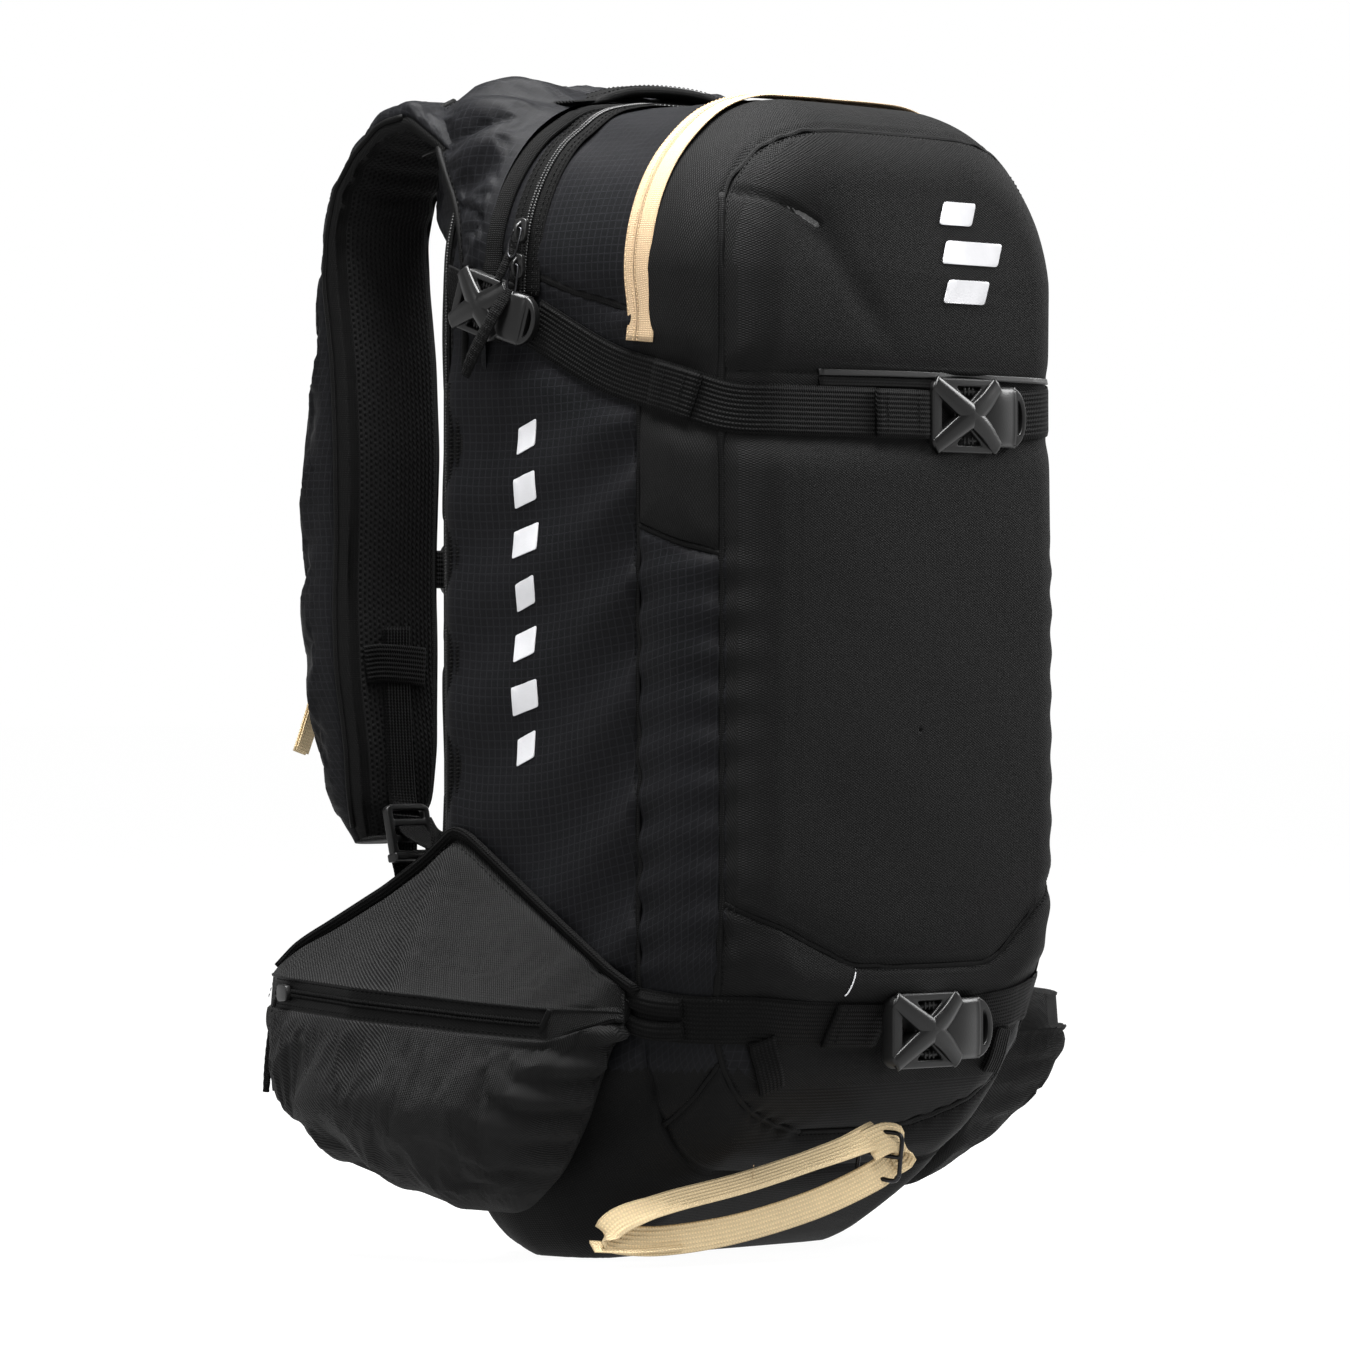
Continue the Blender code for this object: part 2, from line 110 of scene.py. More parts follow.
class Tree:
    """Short calls for a material's nodes."""

    def __init__(self, name):
        self.material = bpy.data.materials.new(name)
        self.material.use_nodes = True
        self.nodes = self.material.node_tree.nodes
        self.links = self.material.node_tree.links
        self.shader = self.nodes["Principled BSDF"]

    def put(self, socket, value):
        if isinstance(value, bpy.types.NodeSocket):
            self.links.new(value, socket)
        else:
            socket.default_value = value

    def math(self, operation, a, b=0.0, c=0.0):
        node = self.nodes.new("ShaderNodeMath")
        node.operation = operation
        for socket, value in zip(node.inputs, (a, b, c)):
            self.put(socket, value)
        return node.outputs[0]

    def uv(self):
        node = self.nodes.new("ShaderNodeUVMap")
        split = self.nodes.new("ShaderNodeSeparateXYZ")
        self.links.new(node.outputs[0], split.inputs[0])
        return split.outputs[0], split.outputs[1]

    def place(self):
        return self.nodes.new("ShaderNodeTexCoord").outputs["Object"]

    def noise(self, scale, detail=2.0, vector=None):
        node = self.nodes.new("ShaderNodeTexNoise")
        node.inputs["Scale"].default_value = scale
        node.inputs["Detail"].default_value = detail
        self.links.new(vector or self.place(), node.inputs["Vector"])
        return node.outputs[0]

    def mix(self, factor, a, b):
        node = self.nodes.new("ShaderNodeMix")
        node.data_type = "RGBA"
        self.put(node.inputs[0], factor)
        self.put(node.inputs[6], a)
        self.put(node.inputs[7], b)
        return node.outputs[2]

    def wave(self, value, period, phase=0.0):
        """A sine of the given period, from 0 to 1."""
        turned = self.math("MULTIPLY_ADD", value, 2 * math.pi / period, phase)
        return self.math("MULTIPLY_ADD", self.math("SINE", turned), 0.5, 0.5)

    def line(self, value, period, share):
        """1 on thin lines a period apart, 0 between them."""
        part = self.math("FRACT", self.math("DIVIDE", value, period))
        return self.math("LESS_THAN", part, share)

    def bump(self, height, distance, strength=1.0):
        node = self.nodes.new("ShaderNodeBump")
        node.inputs["Distance"].default_value = distance
        node.inputs["Strength"].default_value = strength
        self.links.new(height, node.inputs["Height"])
        self.links.new(node.outputs[0], self.shader.inputs["Normal"])

    def finish(self, colour, roughness, sheen=0.0, metallic=0.0, specular=0.5, coat=0.0):
        self.put(self.shader.inputs["Base Color"], colour)
        self.put(self.shader.inputs["Roughness"], roughness)
        self.shader.inputs["Sheen Weight"].default_value = 0.2 * sheen
        self.shader.inputs["Sheen Roughness"].default_value = 0.45
        self.shader.inputs["Metallic"].default_value = metallic
        self.shader.inputs["Specular IOR Level"].default_value = specular
        self.shader.inputs["Coat Weight"].default_value = coat
        return self.material


def tone(grey, tint=(1.0, 1.0, 1.0)):
    return (grey * tint[0], grey * tint[1], grey * tint[2], 1.0)


def weave_height(tree, kind):
    """The height field of a woven cloth, and a mask of its raised threads, which cloth() paints lighter than
    the hollows as painted highlight and shade.
    """
    u, v = tree.uv()
    if kind == "ripstop":
        fine = tree.math("MULTIPLY", tree.wave(u, 0.00062), tree.wave(v, 0.00062))
        cross = tree.math("MAXIMUM", tree.line(u, 0.0042, 0.13), tree.line(v, 0.0042, 0.13))
        return tree.math("MULTIPLY_ADD", fine, 0.35, cross), cross
    if kind == "ballistic":
        over = tree.math("MULTIPLY", tree.wave(u, 0.0026), tree.wave(v, 0.0013))
        under = tree.math("MULTIPLY", tree.wave(u, 0.0026, math.pi), tree.wave(v, 0.0013, math.pi))
        yarn = tree.math("MAXIMUM", over, under)
        return yarn, yarn
    if kind == "twill":
        slope = tree.math("MULTIPLY_ADD", v, 0.8, u)
        rib = tree.wave(slope, 0.0017)
        cut = tree.wave(tree.math("MULTIPLY_ADD", v, -1.2, u), 0.0014)
        height = tree.math("MULTIPLY_ADD", cut, 0.3, rib)
        return height, rib
    if kind == "webbing":
        rows = tree.wave(v, 0.0023)
        ticks = tree.wave(tree.math("ADD", u, tree.math("MULTIPLY", rows, 0.0006)), 0.0016)
        height = tree.math("MULTIPLY_ADD", ticks, 0.45, rows)
        return height, tree.math("MULTIPLY", rows, ticks)
    if kind == "mesh":
        rows = tree.wave(v, 0.0032)
        shifted = tree.math("MULTIPLY_ADD", tree.line(v, 0.0064, 0.5), 0.0016, u)
        holes = tree.math("MULTIPLY", rows, tree.wave(shifted, 0.0032))
        return holes, tree.math("SUBTRACT", 1.0, holes)
    knit = tree.math("MULTIPLY", tree.wave(u, 0.0011), tree.wave(v, 0.0016))
    return knit, knit


def cloth(name, kind, low, high, depth, roughness=0.7, sheen=0.15, tint=(1, 1, 1), light=None):
    tree = Tree(name)
    height, thread = weave_height(tree, kind)
    cloud = tree.noise(14.0, 4.0)
    dust = tree.noise(160.0, 2.0)
    worn = tree.math("MULTIPLY_ADD", cloud, 0.55, tree.math("MULTIPLY", dust, 0.25))
    # raised threads get the lighter colour and hollows the darker, as painted highlight and shade; the cloud
    # and dust noise adds tone that varies at random
    share = tree.math("MULTIPLY_ADD", thread, 0.65, tree.math("SUBTRACT", worn, 0.25))
    colour = tree.mix(share, tone(low, tint), light or tone(high, tint))
    rough = tree.math("MULTIPLY_ADD", cloud, 0.16, roughness - 0.08)
    fuzz = tree.math("MULTIPLY_ADD", dust, 0.25, height)
    tree.bump(fuzz, depth)
    return tree.finish(colour, rough, sheen, 0.0, 0.035)


def plastic(name, grey, roughness, coat=0.0, tint=(1, 1, 1)):
    tree = Tree(name)
    grain = tree.noise(900.0, 3.0)
    scuff = tree.noise(35.0, 5.0)
    colour = tree.mix(scuff, tone(grey * 0.75, tint), tone(grey * 1.35, tint))
    tree.bump(grain, 0.00005)
    return tree.finish(colour, tree.math("MULTIPLY_ADD", scuff, 0.22, roughness - 0.1), 0.0, 0.0, 0.24, coat)


def metal(name, colour, roughness):
    tree = Tree(name)
    streak = tree.noise(220.0, 4.0)
    tree.bump(streak, 0.00004)
    shade = tree.mix(streak, tuple(0.8 * c for c in colour[:3]) + (1.0,), colour)
    return tree.finish(shade, tree.math("MULTIPLY_ADD", streak, 0.2, roughness - 0.1), 0.0, 1.0)


RIPSTOP = cloth("ripstop_cloth", "ripstop", 0.0036, 0.0092, 0.00016, 0.50, 0.02, (0.95, 0.97, 1.10))
BALLISTIC = cloth("ballistic_cloth", "ballistic", 0.0023, 0.0080, 0.00026, 0.60, 0.02)
TWILL = cloth("twill_cloth", "twill", 0.0034, 0.0165, 0.00035, 0.60, 0.02)
SLEEK = cloth("sleek_cloth", "knit", 0.0022, 0.0055, 0.00015, 0.55, 0.02)
LINER = cloth("liner_cloth", "ripstop", 0.06, 0.10, 0.0002, 0.7, 0.05)
AIR_MESH = cloth("air_mesh", "mesh", 0.0016, 0.0085, 0.0007, 0.85, 0.02)
WEBBING = cloth("webbing_cloth", "webbing", 0.0010, 0.0050, 0.0005, 0.58, 0.02)
TAPE = cloth("zip_tape", "knit", 0.0016, 0.0050, 0.0002, 0.8, 0.02)
BINDING = cloth("binding_tape", "webbing", 0.0014, 0.0060, 0.0004, 0.8, 0.03)
SEALED = cloth("sealed_tape", "knit", 0.0024, 0.0080, 0.0001, 0.55, 0.0)
KNIT = cloth("knitted_band", "knit", 0.0018, 0.0090, 0.0006, 0.85, 0.03)
TAN_WEB = cloth("tan_webbing", "webbing", 0.52, 0.72, 0.0005, 0.75, 0.05, (1, 0.80, 0.50),
                (0.80, 0.61, 0.35, 1))
TAN_TAPE = cloth("tan_tape", "knit", 0.29, 0.37, 0.0002, 0.8, 0.0, (1, 0.74, 0.47), (0.39, 0.284, 0.17, 1))
TAN_THREAD = cloth("tan_thread", "knit", 0.35, 0.5, 0.0002, 0.8, 0.1, (1, 0.72, 0.44), (0.55, 0.38, 0.22, 1))
THREAD = cloth("black_thread", "knit", 0.0020, 0.0070, 0.0001, 0.6, 0.03)
PLASTIC = plastic("acetal", 0.0035, 0.40, 0.0)
GLOSS = plastic("gloss_acetal", 0.0030, 0.30, 0.0)
RUBBER = plastic("coated_edge", 0.004, 0.42, 0.05)
BOARD = plastic("frame_board", 0.06, 0.5)
WIRE = metal("black_wire", (0.03, 0.03, 0.032, 1), 0.3)
ALLOY = metal("brushed_alloy", (0.62, 0.62, 0.64, 1), 0.35)
STEEL = metal("cartridge_steel", (0.20, 0.21, 0.22, 1), 0.35)
PRINT = plastic("reflective_print", 0.40, 0.42, 0.0, (1.0, 1.0, 1.03))
AIRBAG = cloth("airbag_cloth_look", "ripstop", 0.5, 0.7, 0.0003, 0.6, 0.1, (1, 0.22, 0.06),
               (0.75, 0.16, 0.05, 1))


# ---------------------------------------------------------------- mesh helpers

def linked(name, data):
    """An object that holds this data, linked to the scene."""
    made = bpy.data.objects.new(name, data)
    bpy.context.scene.collection.objects.link(made)
    return made


def mesh_piece(name, verts, faces, look, uvs=None, looks=None):
    """A mesh object; uvs holds one pair for each vertex, or one for each face corner."""
    mesh = bpy.data.meshes.new(name)
    mesh.from_pydata([tuple(v) for v in verts], [], [tuple(f) for f in faces])
    for extra in looks or [look]:
        mesh.materials.append(extra)
    if uvs is not None:
        layer = mesh.uv_layers.new(name="UVMap")
        corner = np.empty(len(mesh.loops), dtype=np.int64)
        mesh.loops.foreach_get("vertex_index", corner)
        values = np.asarray(uvs, dtype=np.float32)
        layer.data.foreach_set("uv", (values[corner] if len(values) == len(verts) else values).ravel())
    mesh.shade_smooth()
    return linked(name, mesh)


def grid_faces(rows, columns, closed):
    faces = []
    for r in range(rows - 1):
        for c in range(columns if closed else columns - 1):
            d = (c + 1) % columns
            faces.append((r * columns + c, r * columns + d, (r + 1) * columns + d, (r + 1) * columns + c))
    return faces


def face_outwards(made, merge=0.0):
    """Make a mesh's faces agree, after merging points closer than merge."""
    bm = bmesh.new()
    bm.from_mesh(made.data)
    if merge:
        bmesh.ops.remove_doubles(bm, verts=bm.verts, dist=merge)
    bmesh.ops.recalc_face_normals(bm, faces=bm.faces)
    bm.to_mesh(made.data)
    bm.free()
    return made


def grid(name, points, look, closed=False, uvs=None, caps=False):
    """A sheet or tube through rows of points, with UVs as lengths in metres."""
    points = np.asarray(points, dtype=float)
    rows, columns = points.shape[:2]
    if uvs is None:
        along = np.zeros((rows, columns))
        along[1:] = np.cumsum(np.linalg.norm(np.diff(points, axis=0), axis=2), axis=0)
        across = np.zeros((rows, columns))
        across[:, 1:] = np.cumsum(np.linalg.norm(np.diff(points, axis=1), axis=2), axis=1)
        uvs = np.stack([np.tile(along.mean(axis=1)[:, None], columns), across], axis=2)
    faces = grid_faces(rows, columns, closed)
    if caps:
        faces.append(tuple(range(columns - 1, -1, -1)))
        faces.append(tuple((rows - 1) * columns + c for c in range(columns)))
    return face_outwards(mesh_piece(name, points.reshape(-1, 3), faces, look, uvs.reshape(-1, 2)))


def run_lengths(points):
    """The distance run along a path at each of its points."""
    return np.concatenate([[0], np.cumsum(np.linalg.norm(np.diff(points, axis=0), axis=1))])


def smoothed(path, times):
    """A path whose inner points are averaged with their neighbours, in place."""
    for _ in range(times):
        path[1:-1] = (path[:-2] + 2 * path[1:-1] + path[2:]) / 4
    return path


def curve_points(points, spacing):
    """Evenly spaced points on a Catmull-Rom curve through the given ones."""
    knots = np.asarray([tuple(p) for p in points], dtype=float)
    knots = np.vstack([2 * knots[0] - knots[1], knots, 2 * knots[-1] - knots[-2]])
    t = np.linspace(0, 1, 24, endpoint=False)[:, None]
    pieces = []
    for a, b, c, d in zip(knots, knots[1:], knots[2:], knots[3:]):
        pieces.append(0.5 * (2 * b + (c - a) * t + (2 * a - 5 * b + 4 * c - d) * t ** 2
                             + (3 * b - a - 3 * c + d) * t ** 3))
    dense = np.vstack(pieces + [knots[-2:-1]])
    length = run_lengths(dense)
    count = max(2, int(round(length[-1] / spacing)) + 1)
    even = np.linspace(0, length[-1], count)
    return np.stack([np.interp(even, length, dense[:, i]) for i in range(3)], axis=1)


def unit(vectors):
    return vectors / np.maximum(np.linalg.norm(vectors, axis=-1, keepdims=True), 1e-9)


def tangents(points):
    return unit(np.gradient(points, axis=0))


def sweep(name, points, across, section, look):
    """A closed section, in pairs of (across, outward), carried along points."""
    points = np.asarray(points)
    run = tangents(points)
    side = np.broadcast_to(np.asarray(across, dtype=float), points.shape)
    side = unit(side - (side * run).sum(axis=1, keepdims=True) * run)
    out = np.cross(run, side)
    section = np.asarray(section, dtype=float)
    if section.ndim == 2:
        section = np.broadcast_to(section, (len(points),) + section.shape)
    rings = points[:, None] + side[:, None] * section[:, :, :1] + out[:, None] * section[:, :, 1:]
    length = run_lengths(points)
    uvs = np.stack([np.tile(length[:, None], section.shape[1]), section[:, :, 0] + section[:, :, 1]], axis=2)
    return grid(name, rings, look, True, uvs, True)


def flat_section(width, thickness, count=12):
    """Webbing's section: flat faces with thin round edges."""
    half = width / 2
    xs = np.linspace(-half, half, count)
    rise = thickness / 2 * np.minimum(1.0, ((half - np.abs(xs)) / 0.0008 + 0.45))
    upper = np.stack([xs, rise], axis=1)
    return np.vstack([upper, upper[::-1] * (1, -1)])


def boxy(value, power=0.5):
    """A sine or cosine bent so that the circle it draws becomes a rounded box."""
    return math.copysign(abs(value) ** power, value)


def round_section(radius, count=8):
    angle = np.linspace(0, 2 * math.pi, count, endpoint=False)
    return np.stack([radius * np.cos(angle), radius * np.sin(angle)], axis=1)


def webbing(name, points, across, look=None, width=WEB_WIDTH, thickness=WEB, spacing=0.003):
    return sweep(name, curve_points(points, spacing), across, flat_section(width, thickness), look or WEBBING)


def cord_piece(name, points, radius, look, spacing=0.0015):
    dense = curve_points(points, spacing)
    return sweep(name, dense, unit(np.cross(tangents(dense)[0], (0.31, 0.47, 0.83))), round_section(radius),
                 look)


def join(name, pieces):
    """One object from several, keeping their materials and UVs."""
    with bpy.context.temp_override(active_object=pieces[0], selected_editable_objects=pieces,
                                   selected_objects=pieces):
        bpy.ops.object.join()
    pieces[0].name = name
    return pieces[0]


def put(piece, body, slot_name, *nodes):
    """The lines that every piece needs: its body and the CAD nodes it stands for; slot_name is not used."""
    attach(piece, body)
    if nodes:
        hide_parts(*nodes)
    return piece


def follow_flap(piece):
    """Bake a piece's placement into its mesh."""
    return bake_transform(piece)


def bevelled(name, outline, thickness, look, bevel=0.0008, holes=(), segments=2):
    """A moulded plate in its own plane: an outline with holes, extruded and rounded."""
    curve = bpy.data.curves.new(name, "CURVE")
    curve.dimensions = "2D"
    curve.fill_mode = "BOTH"
    curve.extrude = thickness / 2 - bevel
    curve.bevel_depth = bevel
    curve.bevel_resolution = segments
    curve.offset = -bevel
    for ring in (outline, *holes):
        spline = curve.splines.new("POLY")
        spline.points.add(len(ring) - 1)
        for knot, point in zip(spline.points, ring):
            knot.co = (point[0], point[1], 0.0, 1.0)
        spline.use_cyclic_u = True
    temporary = linked(name + "_curve", curve)
    bpy.context.view_layer.update()
    mesh = bpy.data.meshes.new_from_object(temporary.evaluated_get(bpy.context.evaluated_depsgraph_get()))
    bpy.data.objects.remove(temporary)
    bm = bmesh.new()
    bm.from_mesh(mesh)
    bmesh.ops.remove_doubles(bm, verts=bm.verts, dist=0.00001)
    bm.to_mesh(mesh)
    bm.free()
    mesh.materials.clear()
    mesh.materials.append(look)
    mesh.shade_smooth()
    mesh.set_sharp_from_angle(angle=math.radians(40))
    return linked(name, mesh)


def rounded(points, radius, steps=5):
    """An outline with its corners rounded."""
    result = []
    count = len(points)
    for i in range(count):
        a, b, c = (Vector(points[(i + k) % count]) for k in (-1, 0, 1))
        cut = min(radius, 0.45 * (a - b).length, 0.45 * (c - b).length)
        start = b + (a - b).normalized() * cut
        end = b + (c - b).normalized() * cut
        for k in range(steps + 1):
            t = k / steps
            result.append(tuple(start * (1 - t) ** 2 + b * 2 * t * (1 - t) + end * t ** 2))
    return result


def block(name, low, high, look, bevel=0.001, segments=3):
    """A moulded block with rounded edges."""
    bm = bmesh.new()
    bmesh.ops.create_cube(bm, size=1.0)
    bmesh.ops.scale(bm, vec=[high[i] - low[i] for i in range(3)], verts=bm.verts)
    bmesh.ops.translate(bm, vec=[(high[i] + low[i]) / 2 for i in range(3)], verts=bm.verts)
    bmesh.ops.bevel(bm, geom=bm.edges[:], offset=bevel, segments=segments, affect="EDGES", profile=0.5)
    mesh = bpy.data.meshes.new(name)
    bm.to_mesh(mesh)
    bm.free()
    mesh.materials.append(look)
    mesh.shade_smooth()
    return linked(name, mesh)


def settle(piece, free, pressure=2.5, grow=0.04, cap=0.007):
    """Let the free part of a piece, from 0 (pinned) to 1, swell and wrinkle as cloth."""
    scene = bpy.context.scene
    start = np.array([vert.co for vert in piece.data.vertices])
    group = piece.vertex_groups.new(name="pinned")
    for i, loose in enumerate(free):
        group.add([i], float(1 - loose), "REPLACE")
    cloth = piece.modifiers.new("Cloth", "CLOTH")
    cloth.settings.quality = 6
    cloth.settings.vertex_group_mass = "pinned"
    cloth.settings.use_pressure = True
    cloth.settings.uniform_pressure_force = pressure
    cloth.settings.shrink_min = -grow
    cloth.settings.bending_stiffness = 0.3
    cloth.settings.effector_weights.gravity = 0.0
    cloth.collision_settings.use_collision = False
    for frame in range(1, 19):
        scene.frame_set(frame)
    solved = piece.evaluated_get(bpy.context.evaluated_depsgraph_get())
    move = np.array([vert.co for vert in solved.data.vertices]) - start
    length = np.linalg.norm(move, axis=1, keepdims=True)
    move *= np.minimum(1.0, cap / np.maximum(length, 1e-9)) * np.asarray(free)[:, None]
    piece.modifiers.remove(cloth)
    piece.vertex_groups.clear()
    scene.frame_set(1)
    piece.data.vertices.foreach_set("co", (start + move).ravel())
    piece.data.update()
    return piece


def transform(piece, matrix):
    piece.data.transform(matrix)
    return piece


def basis(run, across, origin):
    """A matrix whose X runs along run, Y along across, at origin."""
    run = Vector(run).normalized()
    across = (Vector(across) - Vector(across).dot(run) * run).normalized()
    normal = run.cross(across)
    matrix = Matrix((run, across, normal)).transposed().to_4x4()
    matrix.translation = Vector(origin)
    return matrix


# ---------------------------------------------------------------- the bag's surface

BOTTOM_LINE = [(-0.170, 0.150), (-0.160, 0.110), (-0.140, 0.075), (-0.111, 0.045), (-0.070, 0.018),
               (-0.045, 0.003), (-0.020, 0.000), (0.004, 0.001), (BACK, 0.014)]
COUNTS = (96, 130, 64, 60)      # points in: the two top arcs together, each side, each foot arc, the bottom


def front_fillet(y, radius):
    depth = np.clip(FRONT + radius - y, 0.0, radius)
    return radius - np.sqrt(radius ** 2 - depth ** 2)


def bottom_at(y):
    ys, zs = zip(*BOTTOM_LINE)
    smooth = [np.interp(y + shift, ys, zs) for shift in (-0.012, -0.006, 0.0, 0.006, 0.012)]
    return sum(smooth) / 5


def bag_ring(y, grow=0.0):
    """The bag's closed outline in the plane at y: right side, over the top, left side, bottom."""
    inset = front_fillet(y, EDGE)
    half = HALF - inset + grow
    top = TOP - front_fillet(y, TOP_EDGE) + grow
    low = max(bottom_at(y), 0.0) - min(grow, 0.0)
    corner = TOP_RADIUS - inset
    foot_x = 0.055 - 0.6 * inset
    foot_z = 0.130 - 0.55 * bottom_at(y)
    top_arc, side, foot, base = COUNTS
    ring = []

    def line(start, end, count):
        ring.extend(np.linspace(start, end, count, endpoint=False))

    def arc(cx, cz, rx, rz, start, count):
        angle = np.radians(start + 90.0 * np.arange(count) / count)
        ring.extend(np.stack([cx + rx * np.cos(angle), cz + rz * np.sin(angle)], axis=1))

    line((half, low + foot_z), (half, top - corner), side)
    arc(half - corner, top - corner, corner, corner, 0, top_arc // 2)
    line((half - corner, top), (corner - half, top), 30)
    arc(corner - half, top - corner, corner, corner, 90, top_arc // 2)
    line((-half, top - corner), (-half, low + foot_z), side)
    arc(foot_x - half, low + foot_z, foot_x, foot_z, 180, foot)
    line((foot_x - half, low), (half - foot_x, low), base)
    arc(half - foot_x, low + foot_z, foot_x, foot_z, 270, foot)
    flat = np.asarray(ring)
    return np.stack([flat[:, 0], np.full(len(flat), y), flat[:, 1]], axis=1)


def belly(points):
    """How far the front of a full bag bulges at points."""
    x, y, z = points[:, 0], points[:, 1], points[:, 2]
    rise = np.clip((z - 0.05) / 0.5, 0, 1)
    on_front = np.clip((SPLIT - 0.03 - y) / 0.03, 0, 1)
    return on_front * (0.005 + 0.003 * np.sin(rise * math.pi)) * np.clip(1 - (x / HALF) ** 2, 0, 1)


def value_noise(points, scale, seed):
    """Smooth noise at points, mostly between -1 and 1."""
    total = np.zeros(len(points))
    generator = np.random.default_rng(seed)
    for _ in range(7):
        direction = generator.normal(size=3)
        direction /= np.linalg.norm(direction)
        total += np.sin(points @ direction * scale * generator.uniform(0.6, 1.6)
                        + generator.uniform(0, 6.3))
    return total / 7 * 1.6


def distance_to(points, lines):
    """Distance from each point to the nearest of several polylines."""
    best = np.full(len(points), 1.0)
    for polyline in lines:
        for a, b in zip(polyline[:-1], polyline[1:]):
            near = np.flatnonzero(np.abs(points - (a + b) / 2).max(axis=1)
                                  < 0.035 + np.linalg.norm(b - a) / 2)
            if not len(near):
                continue
            part = points[near] - a
            run = b - a
            share = np.clip(part @ run / max(run @ run, 1e-12), 0, 1)
            reach = np.linalg.norm(part - share[:, None] * run, axis=1)
            best[near] = np.minimum(best[near], reach)
    return best


def closing_rings(rim, count):
    """Rings that shrink from a rim to a line up its middle."""
    spine = np.stack([np.zeros(len(rim)), rim[:, 1], np.clip(rim[:, 2], 0.27, 0.45)], axis=1)
    return [rim + (spine - rim) * share for share in np.linspace(0, 1, count)[1:]]


def front_rows(inner_rows):
    """Rings from the tan seam round the front edge, then shrinking to the front's middle."""
    rings = [bag_ring(y) for y in np.linspace(SPLIT, FRONT + TOP_EDGE, 8, endpoint=False)]
    angle = np.linspace(0, math.pi / 2, 26)
    rings += [bag_ring(FRONT + TOP_EDGE * (1 - math.sin(a))) for a in angle]
    return np.asarray(rings + closing_rings(rings[-1], inner_rows))


class Surface:
    """A surface of the bag, to lay seams, webbing and prints on."""

    def __init__(self, grids):
        verts = np.vstack([g.reshape(-1, 3) for g in grids])
        faces = []
        offset = 0
        for g in grids:
            rows, columns = g.shape[:2]
            faces += [tuple(i + offset for i in f) for f in grid_faces(rows, columns, True)]
            offset += rows * columns
        self.tree = BVHTree.FromPolygons([tuple(v) for v in verts], faces)

    def nearest(self, point):
        """The nearest point of the surface and its outward normal."""
        place, normal, _, _ = self.tree.find_nearest(Vector(point))
        away = Vector([p - m for p, m in zip(place, BAG_MIDDLE)])
        return place, -normal if normal.dot(away) < 0 else normal

    def on(self, point, lift=0.0):
        place, normal = self.nearest(point)
        return np.asarray(place + normal * lift)

    def path(self, points, spacing=0.004, lift=0.0):
        return np.asarray([self.on(p, lift) for p in curve_points(points, spacing)])


def crowned(rings):
    flat = rings.reshape(-1, 3).copy()
    flat[:, 1] -= belly(flat)
    return flat.reshape(rings.shape)


REAR_YS = np.concatenate([np.linspace(SPLIT, BACK - BACK_ROUND, 66),
                          BACK - BACK_ROUND + BACK_ROUND * np.sin(np.linspace(0, math.pi / 2, 6))[1:]])


def rear_ring(y):
    """The rear of the bag, with its back edge rounded."""
    turn = np.clip((y - (BACK - BACK_ROUND)) / BACK_ROUND, 0, 1)
    return bag_ring(y, -BACK_ROUND * (1 - math.sqrt(max(0.0, 1 - turn ** 2))))


rear_rings = np.asarray([rear_ring(y) for y in REAR_YS])
front_rings = crowned(front_rows(78))
surface = Surface([rear_rings, front_rings])


def mirror_x(points):
    return [(-p[0], p[1], p[2]) for p in points]


EDGE_X = HALF - 0.009
EDGE_Y = FRONT + 0.012
front_edge = [*((-EDGE_X, EDGE_Y, z) for z in (0.540, 0.42, 0.30, 0.18)),
              (-EDGE_X + 0.001, EDGE_Y + 0.004, 0.135)]
bottom_edge = [(-EDGE_X + 0.001, EDGE_Y + 0.004, 0.135), (-0.117, -0.150, 0.105), (-0.095, -0.145, 0.082),
               (-0.065, -0.138, 0.070), (-0.035, -0.132, 0.064)]
arch_half = [(-EDGE_X, EDGE_Y, 0.535), (-0.118, -0.160, 0.553), (-0.098, -0.158, 0.563),
             (-0.060, -0.157, 0.567)]
arch_seam = [*arch_half, (0.0, -0.157, 0.568), *mirror_x(arch_half)[::-1]]
dart_left = [(-0.124, -0.165, 0.542), (-0.100, -0.17, 0.534), (-0.070, -0.175, 0.522)]
panel_edge = [(-EDGE_X, EDGE_Y, 0.4480), (-0.06, -0.176, 0.4488), (0.06, -0.176, 0.4480),
              (EDGE_X, EDGE_Y, 0.4470)]
chevron = [(-EDGE_X, EDGE_Y, 0.184), (-0.090, -0.172, 0.168), (-0.050, -0.175, 0.153),
           (-0.028, -0.175, 0.1505), (0.045, -0.175, 0.1500), (0.065, -0.173, 0.153), (0.090, -0.172, 0.170),
           (EDGE_X, EDGE_Y, 0.198)]
gusset_seam = [(-HALF, SPLIT, 0.3720), (-HALF, -0.130, 0.3655), (-EDGE_X, EDGE_Y, 0.3570)]
rear_seam = [(-HALF, SPLIT, z) for z in (0.455, 0.38, 0.30, 0.22, 0.16, 0.12)]
rear_foot = [(-HALF, SPLIT, 0.12), (-0.122, SPLIT, 0.085), (-0.100, SPLIT, 0.055), (-0.06, SPLIT, 0.045),
             (0.0, SPLIT, 0.045)]
bottom_cross = [(-0.035, -0.132, 0.064), (0.035, -0.132, 0.064), (0.070, -0.138, 0.071),
                (0.100, -0.145, 0.085), (0.118, -0.150, 0.107)]
side_dart = [(-0.117, -0.150, 0.100), (-0.118, -0.130, 0.082), (-0.115, -0.111, 0.072)]
top_half = [(-HALF, -0.006, 0.48), (-0.134, -0.006, 0.50), (-0.120, -0.006, 0.55), (-0.085, -0.006, 0.58),
            (-0.045, -0.006, TOP)]
top_seam = [*top_half, *mirror_x(top_half)[::-1]]
overlap_seam = [(-HALF, 0.0010, 0.5150), (-HALF, -0.0250, 0.5050), (-HALF, -0.0615, 0.4915),
                (-HALF, SPLIT + 0.004, 0.4790)]


